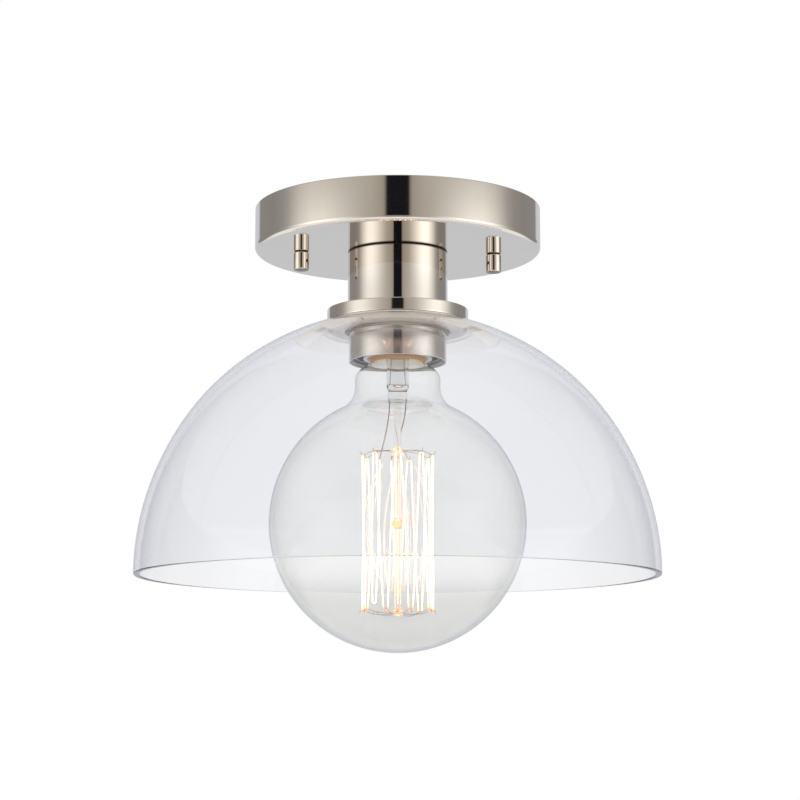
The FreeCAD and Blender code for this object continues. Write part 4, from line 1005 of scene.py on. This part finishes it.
# ---- bulb ----
def envelope_side(inset):
    """One side of the envelope from the throat to the pole: straight throat, rounded shoulder,
    neck, a hollow blend and the globe. The blend's middle lies globe + blend from the globe's."""
    neck = BULB_NECK - inset
    globe = GLOBE_RADIUS - inset
    hollow = BULB_NECK_BLEND + inset
    throat = THROAT_RADIUS - inset
    throat_z = cap_low.z - SKIRT_DROP + THROAT_ROUND - inset / 2
    rise = math.sqrt((globe + hollow)**2 - (neck + hollow)**2)
    slope = math.atan2(rise, neck + hollow)
    upper = outline([(throat, globe_high.z), (throat, throat_z, THROAT_ROUND + inset),
                     (neck, throat_z - SHOULDER_HEIGHT, SHOULDER_ROUND - inset),
                     (neck, GLOBE_Z + rise)], closed=False)
    blending = arc((neck + hollow, GLOBE_Z + rise), hollow, math.pi, math.pi + slope,
                   BLEND_STEPS)[1:]
    ball = arc((0, GLOBE_Z), globe, slope, -math.pi / 2, GLOBE_RINGS)[1:]
    ball[-1, 0] = 0
    return np.concatenate((upper, blending, ball))


def make_envelope(glass):
    """Thin blown globe, closed at its pole and open at the throat."""
    profile = np.concatenate((envelope_side(0)[::-1], envelope_side(BULB_WALL)))
    piece("globe_envelope", [turned(profile, closed=False)], "bulb", ["bulb_glass"],
          glass)


def make_cap(metal):
    """Pressed screw cap: skirt, rolled thread and a cone up to the insulator."""
    cone_top = cap_high.z
    skirt_low = cap_low.z - SKIRT_DROP
    skirt = cap_high.x
    skirt_inner = skirt - CAP_WALL
    root_inner = CAP_ROOT - CAP_WALL
    lower = outline([(skirt_inner, skirt_low), (skirt, skirt_low, CAP_WALL / 3),
                     (skirt, SKIRT_TOP, CAP_SKIRT_ROUND), (CAP_CREST, SKIRT_TOP)], closed=False)
    screw = outline([(CAP_CREST, SKIRT_TOP), (CAP_CREST, THREAD_TOP)], closed=False,
                    step=CAP_PITCH / CAP_ROWS)[1:-1]
    upper = outline([(CAP_ROOT, THREAD_TOP, CAP_CONE_ROUND), (INSULATOR_RADIUS, cone_top),
                     (INSULATOR_RADIUS, cone_top - CAP_WALL),
                     (root_inner, THREAD_TOP - CAP_WALL), (root_inner, SKIRT_TOP + CAP_WALL),
                     (skirt_inner, SKIRT_TOP - CAP_WALL),
                     (skirt_inner, skirt_low + SUPPORT)], closed=False)
    swell = thread(CAP_CREST, CAP_PITCH, CAP_CREST - CAP_ROOT, SKIRT_TOP - CAP_PITCH / 2,
                   THREAD_TOP + CAP_PITCH / 2)
    profile = np.concatenate((lower, screw, upper))
    piece("screw_cap", [turned(profile, CAP_AROUND, swell=swell)], "bulb", ["bulb_cap"],
          metal)


def make_stem(glass):
    """Flared tube that ends in a flat press. Each row is a rounded oblong |x/a|^n + |y/b|^n = 1
    whose half widths a and b and power n run from round to flat."""
    rim = THROAT_RADIUS - BULB_WALL - STEM_FIT
    top = stem_high.z
    flare = top - STEM_FLARE
    bore = STEM_RADIUS - STEM_WALL
    press_top = stem_low.z + PRESS_HEIGHT
    pocket = press_top + POCKET_FLOOR
    outer = outline([(rim, top - STEM_WALL), (STEM_RADIUS, flare, STEM_FLARE_ROUND),
                     (STEM_RADIUS, press_top)], closed=False, step=STEM_STEP)
    inner = outline([(bore, pocket), (bore, flare + STEM_WALL, STEM_FLARE_ROUND), (rim, top)],
                    closed=False, step=STEM_STEP)
    press_z = np.linspace(press_top, stem_low.z, PRESS_RINGS + 1)[1:]
    flatten = eased(np.clip((press_top - press_z) / PRESS_BLEND, 0, 1))
    sunk = np.clip((stem_low.z + PRESS_FOOT - press_z) / PRESS_FOOT, 0, 1)
    foot = np.sqrt(np.clip(1 - sunk**2, 0, 1))
    foot[-1] = 0
    dome = np.linspace(np.pi / 2, 0, POCKET_RINGS + 1)[:-1]
    end_z = pocket - bore * np.sin(dome) * POCKET_DOME
    end_r = bore * np.cos(dome)
    end_r[0] = 0
    widths = []
    for half, share in zip(PRESS_HALF, PRESS_FOOT_SHARE):
        press = (STEM_RADIUS + (half - STEM_RADIUS) * flatten) * (share + (1 - share) * foot)
        press[-1] = 0
        widths.append(np.concatenate((end_r, inner[:, 0], outer[:, 0], press))[:, None])
    z = np.concatenate((end_z, inner[:, 1], outer[:, 1], press_z))
    power = np.full((len(z), 1), 2.0)
    power[-PRESS_RINGS:, 0] += PRESS_POWER * flatten
    angles = circle(SMALL_AROUND)
    x, y = (width * np.sign(wave) * np.abs(wave)**(2 / power)
            for width, wave in zip(widths, (np.cos(angles), np.sin(angles))))
    points = np.stack((x, y, np.repeat(z[:, None], SMALL_AROUND, 1)), -1)
    piece("flare_and_press", [skin(points, False)], "bulb", ["bulb_stem"], glass)


def make_rod(glass):
    """Glass rod with three beads melted to it, each an ellipse of half height h: the radius is
    the smooth maximum (rod^6 + bead^6)^(1/6) of the rod and the beads' sqrt(1 - (z/h)^2)."""
    lower = rod_low.z + BEAD_RADIUS
    top, bottom = rod_high.z, lower - LOWER_BEAD_HALF
    z = np.linspace(top, bottom, ROD_RINGS)
    radius = np.full_like(z, ROD_RADIUS)
    for middle, half, widest in ((CAGE_TOP + BEAD_LIFT, UPPER_BEAD_HALF, BEAD_RADIUS),
                                 (GLOBE_Z, MIDDLE_BEAD_HALF, MIDDLE_BEAD),
                                 (lower, LOWER_BEAD_HALF, BEAD_RADIUS)):
        bead = widest * np.sqrt(np.clip(1 - ((z - middle) / half)**2, 0, None))
        radius = (radius**6 + bead**6)**(1 / 6)
    ends = np.clip(np.minimum(top - z, z - bottom) / ROD_END_ROUND, 0, 1)
    radius *= np.sqrt(np.clip(1 - (1 - ends)**2, 0, 1))
    radius[[0, -1]] = 0
    piece("rod_and_beads", [turned(np.stack((radius, z), -1), ROD_AROUND, closed=False)],
          "bulb", ["bulb_rod"], glass)


def loop_angle(step):
    """Angle of the filament's turn: whole steps are upper turns, half steps lower ones."""
    return FILAMENT_GAP + 2 * math.pi * step / FILAMENT_LOOPS


def make_filament(glow):
    """One wire, zigzag between the hooks, laid out flat as (distance round the cage, height) with
    rounded turns and then wrapped round the cage. Each strand bows a little its own way."""
    strands = 2 * FILAMENT_LOOPS
    half_step = math.pi / FILAMENT_LOOPS
    height = CAGE_TOP - CAGE_BOTTOM
    lean = math.atan((CAGE_RADIUS * half_step - 2 * FILAMENT_TURN) / height)
    reach = FILAMENT_TURN / math.sin(lean)
    lower_z = CAGE_BOTTOM + FILAMENT_LIFT - reach
    upper_z = CAGE_TOP - FILAMENT_SAG + reach
    corners = [((FILAMENT_GAP + FILAMENT_END) * CAGE_RADIUS, CAGE_TOP)]
    for i in range(FILAMENT_LOOPS):
        corners.append((loop_angle(i + 0.5) * CAGE_RADIUS, lower_z, FILAMENT_TURN))
        corners.append((loop_angle(i + 1) * CAGE_RADIUS, upper_z, FILAMENT_TURN))
    corners[-1] = ((loop_angle(FILAMENT_LOOPS) - FILAMENT_END) * CAGE_RADIUS, CAGE_TOP)
    laid = outline(corners, closed=False, step=FILAMENT_STEP)
    strand = ((laid[:, 0] / CAGE_RADIUS - FILAMENT_GAP) / half_step).astype(int)
    strand = np.clip(strand, 0, strands - 1)
    bow = np.sin(np.pi * np.clip((laid[:, 1] - CAGE_BOTTOM) / height, 0, 1))
    rng = np.random.default_rng(FILAMENT_SEED)
    sideways = rng.uniform(-1, 1, strands)[strand] * bow * FILAMENT_BOW
    outwards = rng.uniform(-1, 0.3, strands)[strand] * bow * FILAMENT_BOW
    angle = (laid[:, 0] + sideways) / CAGE_RADIUS
    radial = np.stack((np.cos(angle), np.sin(angle), 0 * angle), -1)
    path = radial * (CAGE_RADIUS + outwards)[:, None]
    path[:, 2] = laid[:, 1]
    piece("cage_filament", [swept(path, radial, FILAMENT_RADIUS)], "bulb", ["filament"],
          glow)


def make_hooks(name, node, steps, bead_z, row_z, way, wire):
    """Wires melted into a bead that arch out to the cage, dip through the filament's turns and
    curl back at the tip. way is 1 for the upper row and -1 for the lower one."""
    skins = []
    rng = np.random.default_rng(HOOK_SEED)
    for step in steps:
        arch = way * HOOK_ARCH * rng.uniform(0.3, 1.0)
        curl = way * HOOK_DIP * rng.uniform(0.7, 1.0)
        out = bezier((BEAD_RADIUS * HOOK_ROOT, bead_z),
                     (CAGE_RADIUS * HOOK_PULLS[0], bead_z + arch),
                     (CAGE_RADIUS * HOOK_PULLS[1], row_z + arch),
                     (CAGE_RADIUS - HOOK_BACK, row_z - way * HOOK_RADIUS / 2), HOOK_STEPS)
        tip = bezier(out[-1], out[-1] + (HOOK_SWING[0], -way * HOOK_SWING[1]),
                     (CAGE_RADIUS + HOOK_BULGE, row_z - way * HOOK_SLACK),
                     (CAGE_RADIUS + HOOK_OUT, row_z + curl), STEPS)
        angle = loop_angle(step)
        sideways = np.array((-math.sin(angle), math.cos(angle), 0))
        path = spoke(np.concatenate((out, tip[1:])), angle)
        skins.append(swept(path, sideways, HOOK_WIRE))
    piece(name, skins, "bulb", [node], wire)


def make_spreader(wire):
    """Wire that comes in along X, winds three times round the rod and goes out along X."""
    coil = MIDDLE_BEAD + HOOK_WIRE
    turn = np.linspace(0, 2 * math.pi * SPREADER_TURNS, SPREADER_RINGS) - math.pi / 2
    height = GLOBE_Z + SPREADER_RISE * np.linspace(-0.5, 0.5, SPREADER_RINGS)
    winding = np.stack((coil * np.cos(turn), coil * np.sin(turn), height), -1)
    arm = np.linspace(SPREADER_REACH, SPREADER_GAP, STEPS)
    left, right = (np.stack((x, np.full(STEPS, -coil), np.full(STEPS, z)), -1)
                   for x, z in ((-arm, height[0]), (arm[::-1], height[-1])))
    path = np.concatenate((left, winding, right))
    piece("wound_spreader", [swept(path, np.array((0, 0, 1.0)), HOOK_WIRE)], "bulb",
          ["middle_support"], wire)


def make_leads(wire):
    """Two wires that leave the press straight down and swing out to the filament's ends. Above
    the press each goes on, thinner, up through the tube."""
    skins = []
    for side in (-1, 1):
        start = np.array((-side * LEAD_SPREAD, 0, stem_low.z + LEAD_EXIT))
        angle = FILAMENT_GAP + side * FILAMENT_END
        finish = spoke(np.array([(CAGE_RADIUS, CAGE_TOP + FILAMENT_RADIUS)]), angle)[0]
        path = bezier(start, start - (0, 0, LEAD_DROP),
                      start - (0, 0, LEAD_BEND) + (finish - start) * LEAD_SWING, finish,
                      LEAD_STEPS)
        across = np.array((finish[1] - start[1], start[0] - finish[0], 0.0))
        skins.append(swept(path, across, LEAD_RADIUS))
        top = np.array((-side * INNER_LEAD_SPREAD, 0, stem_high.z + INNER_LEAD_TOP))
        inside = bezier(top, top - (0, 0, INNER_LEAD_PULLS[0]),
                        start + (0, 0, INNER_LEAD_PULLS[1]),
                        start + (0, 0, PRESS_HEIGHT - LEAD_EXIT), STEPS)
        skins.append(swept(inside, np.array((0, 1.0, 0)), LEAD_RADIUS * INNER_LEAD_SHARE))
    piece("lead_in_wires", skins, "bulb", ["bulb_leads"], wire)


# ---- camera, light and surroundings ----
def make_camera():
    """The photograph's camera: left of -Y, below the light and pitched up."""
    data = bpy.data.cameras.new("camera")
    data.sensor_width = SENSOR * 1000
    data.lens = FOCAL_PIXELS / IMAGE_SIZE * data.sensor_width
    data.shift_x = (IMAGE_SIZE / 2 - AXIS_PIXEL) / IMAGE_SIZE
    camera = bpy.data.objects.new("camera", data)
    bpy.context.scene.collection.objects.link(camera)
    camera.location = (-CAMERA_DISTANCE * math.sin(CAMERA_AZIMUTH),
                       -CAMERA_DISTANCE * math.cos(CAMERA_AZIMUTH), CAMERA_HEIGHT)
    camera.rotation_mode = "XYZ"
    camera.rotation_euler = (math.pi / 2 + CAMERA_PITCH, 0, -CAMERA_AZIMUTH)
    bpy.context.scene.camera = camera


def angle_ramp(share, stops, span):
    """Ramp over an angle that runs from -span to span degrees as its share goes from 0 to 1.
    A stop is (angle, brightness) or (angle, colour)."""
    colours = [((angle + span) / (2 * span), value if isinstance(value, tuple) else (value,) * 3)
               for angle, value in stops]
    return add(share.tree, "ShaderNodeValToRGB", {0: share}, stops=colours)


def studio_colour(tree):
    """What metal and glass reflect: a ring of tan wall with a dark gap where the camera stands,
    two tall soft boxes to its sides that are brightest low down, a cool backdrop behind the
    light and a bright floor."""
    x, y, z = parts(add(tree, "ShaderNodeTexCoord", output="Generated"))
    turn = (x.math("ARCTAN2", x, y * -1.0) + CAMERA_AZIMUTH) / (2 * math.pi) + 0.5
    rise = z.math("ARCSINE", z) / math.pi + 0.5
    walls = angle_ramp(turn, [(-a, colour) for a, colour in reversed(WALLS)] + WALLS, 180)
    left_box = [(-a, value * LEFT_BOX_SHARE) for a, value in reversed(SOFT_BOX)]
    boxes = angle_ramp(turn, left_box + SOFT_BOX, 180)
    lit = blend(tree, 1.0, boxes, angle_ramp(rise, BOX_RISE, 90), "MULTIPLY")
    ring = blend(tree, 1.0, walls, blend(tree, 1.0, lit, BOX_COLOUR, "MULTIPLY"), "ADD")
    gap = blend(tree, 1.0, angle_ramp(turn, GAP_TURN, 180), angle_ramp(rise, GAP_RISE, 90),
                "MULTIPLY")
    parted = blend(tree, gap, ring, GAP_COLOUR)
    return blend(tree, angle_ramp(rise, GROUND_RISE, 90), parted, WHITE)


def make_surroundings():
    """The world. The camera and straight views through glass see plain white, reflections see
    the studio, paler where they lie inside a pane of glass, and everything else gets even
    white."""
    world = bpy.data.worlds.new("studio")
    bpy.context.scene.world = world
    world.use_nodes = True
    world.cycles.sampling_method = "NONE"
    tree = world.node_tree
    tree.nodes.clear()
    studio = studio_colour(tree)
    seen = add(tree, "ShaderNodeLightPath", output="Is Camera Ray")
    bounces = seen.twin("Glossy Depth")
    reflected = (bounces.math("GREATER_THAN", bounces, 0.5)
                 * (1.0 - seen.twin("Is Diffuse Ray")))
    crossed = seen.twin("Transmission Depth")
    in_pane = (crossed.near(2.0, 1.0) + (crossed - 4.0).clamped()).clamped()
    studio = blend(tree, in_pane * 0.85, studio, PANE_COLOUR)
    straight = (seen + seen.twin("Is Transmission Ray")).clamped() * (1.0 - reflected)
    plain = blend(tree, straight, EVEN_LIGHT, WHITE)
    background = add(tree, "ShaderNodeBackground",
                     {"Color": blend(tree, reflected, plain, studio)})
    add(tree, "ShaderNodeOutputWorld", {"Surface": background})


def make_lamp(name, place, size, watts):
    """Soft area lamp that points at the light and shows in no reflection."""
    data = bpy.data.lights.new(name, "AREA")
    data.size = size
    data.energy = watts
    lamp = bpy.data.objects.new(name, data)
    bpy.context.scene.collection.objects.link(lamp)
    lamp.location = place
    lamp.rotation_euler = (-lamp.location.normalized()).to_track_quat("-Z", "Y").to_euler()
    lamp.visible_glossy = False
    lamp.visible_camera = False
    lamp.visible_transmission = False


def make_floor():
    """Pale floor well below the light: rings of points at FLOOR_RADIUS * t^1.5, where t runs
    from 0 to 1. It takes the light's shadow near the middle and fades to the white of the
    background further out."""
    angles = circle(FLOOR_COLUMNS)
    radius = FLOOR_RADIUS * np.linspace(0, 1, FLOOR_ROWS)[:, None]**1.5
    points = np.stack((radius * np.cos(angles), radius * np.sin(angles),
                       np.full((FLOOR_ROWS, FLOOR_COLUMNS), FLOOR_Z)), -1)
    flat, quads, triangles = skin(points, False)
    mesh = bpy.data.meshes.new("floor")
    mesh.from_pydata(flat, [], quads.tolist() + triangles.tolist())
    paint = Paint("pale_floor")
    distance = add(paint.tree, "ShaderNodeVectorMath", {0: paint.stretched(1, 1, 0)}, "Value",
                   operation="LENGTH")
    colour = paint.blend(paint.clouds(30, 3.0), *FLOOR)
    pale = add(paint.tree, "ShaderNodeBsdfDiffuse", {"Color": colour})
    white = add(paint.tree, "ShaderNodeEmission", {"Color": WHITE, "Strength": 1.0})
    mixed = add(paint.tree, "ShaderNodeMixShader",
                {0: (distance - SHADOW_RADIUS).share_of(FLOOR_FADE), 1: pale, 2: white})
    add(paint.tree, "ShaderNodeOutputMaterial", {"Surface": mixed})
    mesh.materials.append(paint.material)
    floor = bpy.data.objects.new("floor", mesh)
    bpy.context.scene.collection.objects.link(floor)
    floor.visible_glossy = False


# ---- the light put together ----
def dress(node, material):
    """Gives a CAD node that stays its finish."""
    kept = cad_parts[node]
    if not kept.material_slots:
        kept.data.materials.append(material)
    for place in kept.material_slots:
        place.material = material


def make_fixture(steel):
    """Everything that hangs from the ceiling, apart from the bulb."""
    satin = polished_nickel("polished_ring_plate")
    mirror = polished_nickel("polished_canopy_plate", mirror_below=canopy_low.z + 0.0001)
    knob_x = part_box("canopy_studs")[1].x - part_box("canopy_studs")[1].y
    fibre = moulded("dark_fibre", FIBRE, 0.6)
    make_canopy(mirror)
    for side, x in (("left", -knob_x), ("right", knob_x)):
        make_knob(side, polished_nickel("polished_knob_plate_" + side, (x, 0), 0.03,
                                        foot=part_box("knob_nut_" + side)[0].z))
        make_washer(side, fibre)
    make_studs(steel)
    make_nipple(steel)
    # painted shade: a near-black band at the neck's joint line and a darkened inside of the spigot
    make_neck(polished_nickel("polished_neck_plate", roughness=0.045, seam=neck_high.z,
                              dull_shaded_inside=SPIGOT_RADIUS))
    make_flange(satin)
    # painted shade darkens the collar's bore and the chamfer of its mouth
    make_collar(polished_nickel("polished_collar_plate", roughness=0.022,
                                dull_shaded_inside=collar_high.x - COLLAR_LIP))
    make_bowl(clear_glass("clear_bowl_glass", (0.925, 0.929, 0.950), 26, 0.00001,
                          gleam=(0.93, 0.95, 1.0)))
    make_holder(porcelain())
    make_shell(brass("shell_brass"))


def make_bulb():
    """The bulb's cap, its glass and its wires."""
    make_cap(cap_brass())
    # painted shade darkens the envelope below 24 mm under the globe's middle
    make_envelope(clear_glass("clear_envelope_glass", (0.998, 1.0, 0.985), 40, 0.00002,
                              gleam=(0.98, 1.0, 0.95),
                              painted_shade_below=(GLOBE_Z - 0.024, (0.825, 0.828, 0.822))))
    make_stem(clear_glass("clear_stem_glass", (0.95, 0.955, 0.945), 120, 0.00002))
    # painted glow and amber tint at the rod's beads
    make_rod(painted_glow_glass("rod_glass_painted_glow", (1.0, 0.84, 0.70), (1.0, 0.42, 0.16), 0.35))
    wire = support_wire()
    make_filament(hot_filament())
    make_hooks("upper_hooks", "upper_supports", range(1, FILAMENT_LOOPS),
               CAGE_TOP + BEAD_LIFT, CAGE_TOP, 1, wire)
    make_hooks("lower_hooks", "lower_supports", [i + 0.5 for i in range(FILAMENT_LOOPS)],
               rod_low.z + BEAD_RADIUS, CAGE_BOTTOM, -1, wire)
    # painted glow on the spreader wire
    make_spreader(painted_glow_wire("support_wire_painted_glow", (1.0, 0.62, 0.25), 0.9))
    make_leads(wire)


def dress_hardware(steel):
    """Finishes for the hidden hardware, which keeps its CAD meshes."""
    for node in STEEL_NODES:
        dress(node, steel)
    for node, name, shades, roughness in MOULDED_NODES:
        dress(node, moulded(name, shades, roughness))
    dress("ground_wire", copper())
    dress("centre_contact", brass("tongue_brass"))
    dress("bulb_contact", solder())


make_camera()
make_surroundings()
make_floor()
for lamp_values in LAMPS:
    make_lamp(*lamp_values)
plate = plated_steel()
make_fixture(plate)
make_bulb()
dress_hardware(plate)
bpy.context.scene.view_settings.view_transform = "Standard"
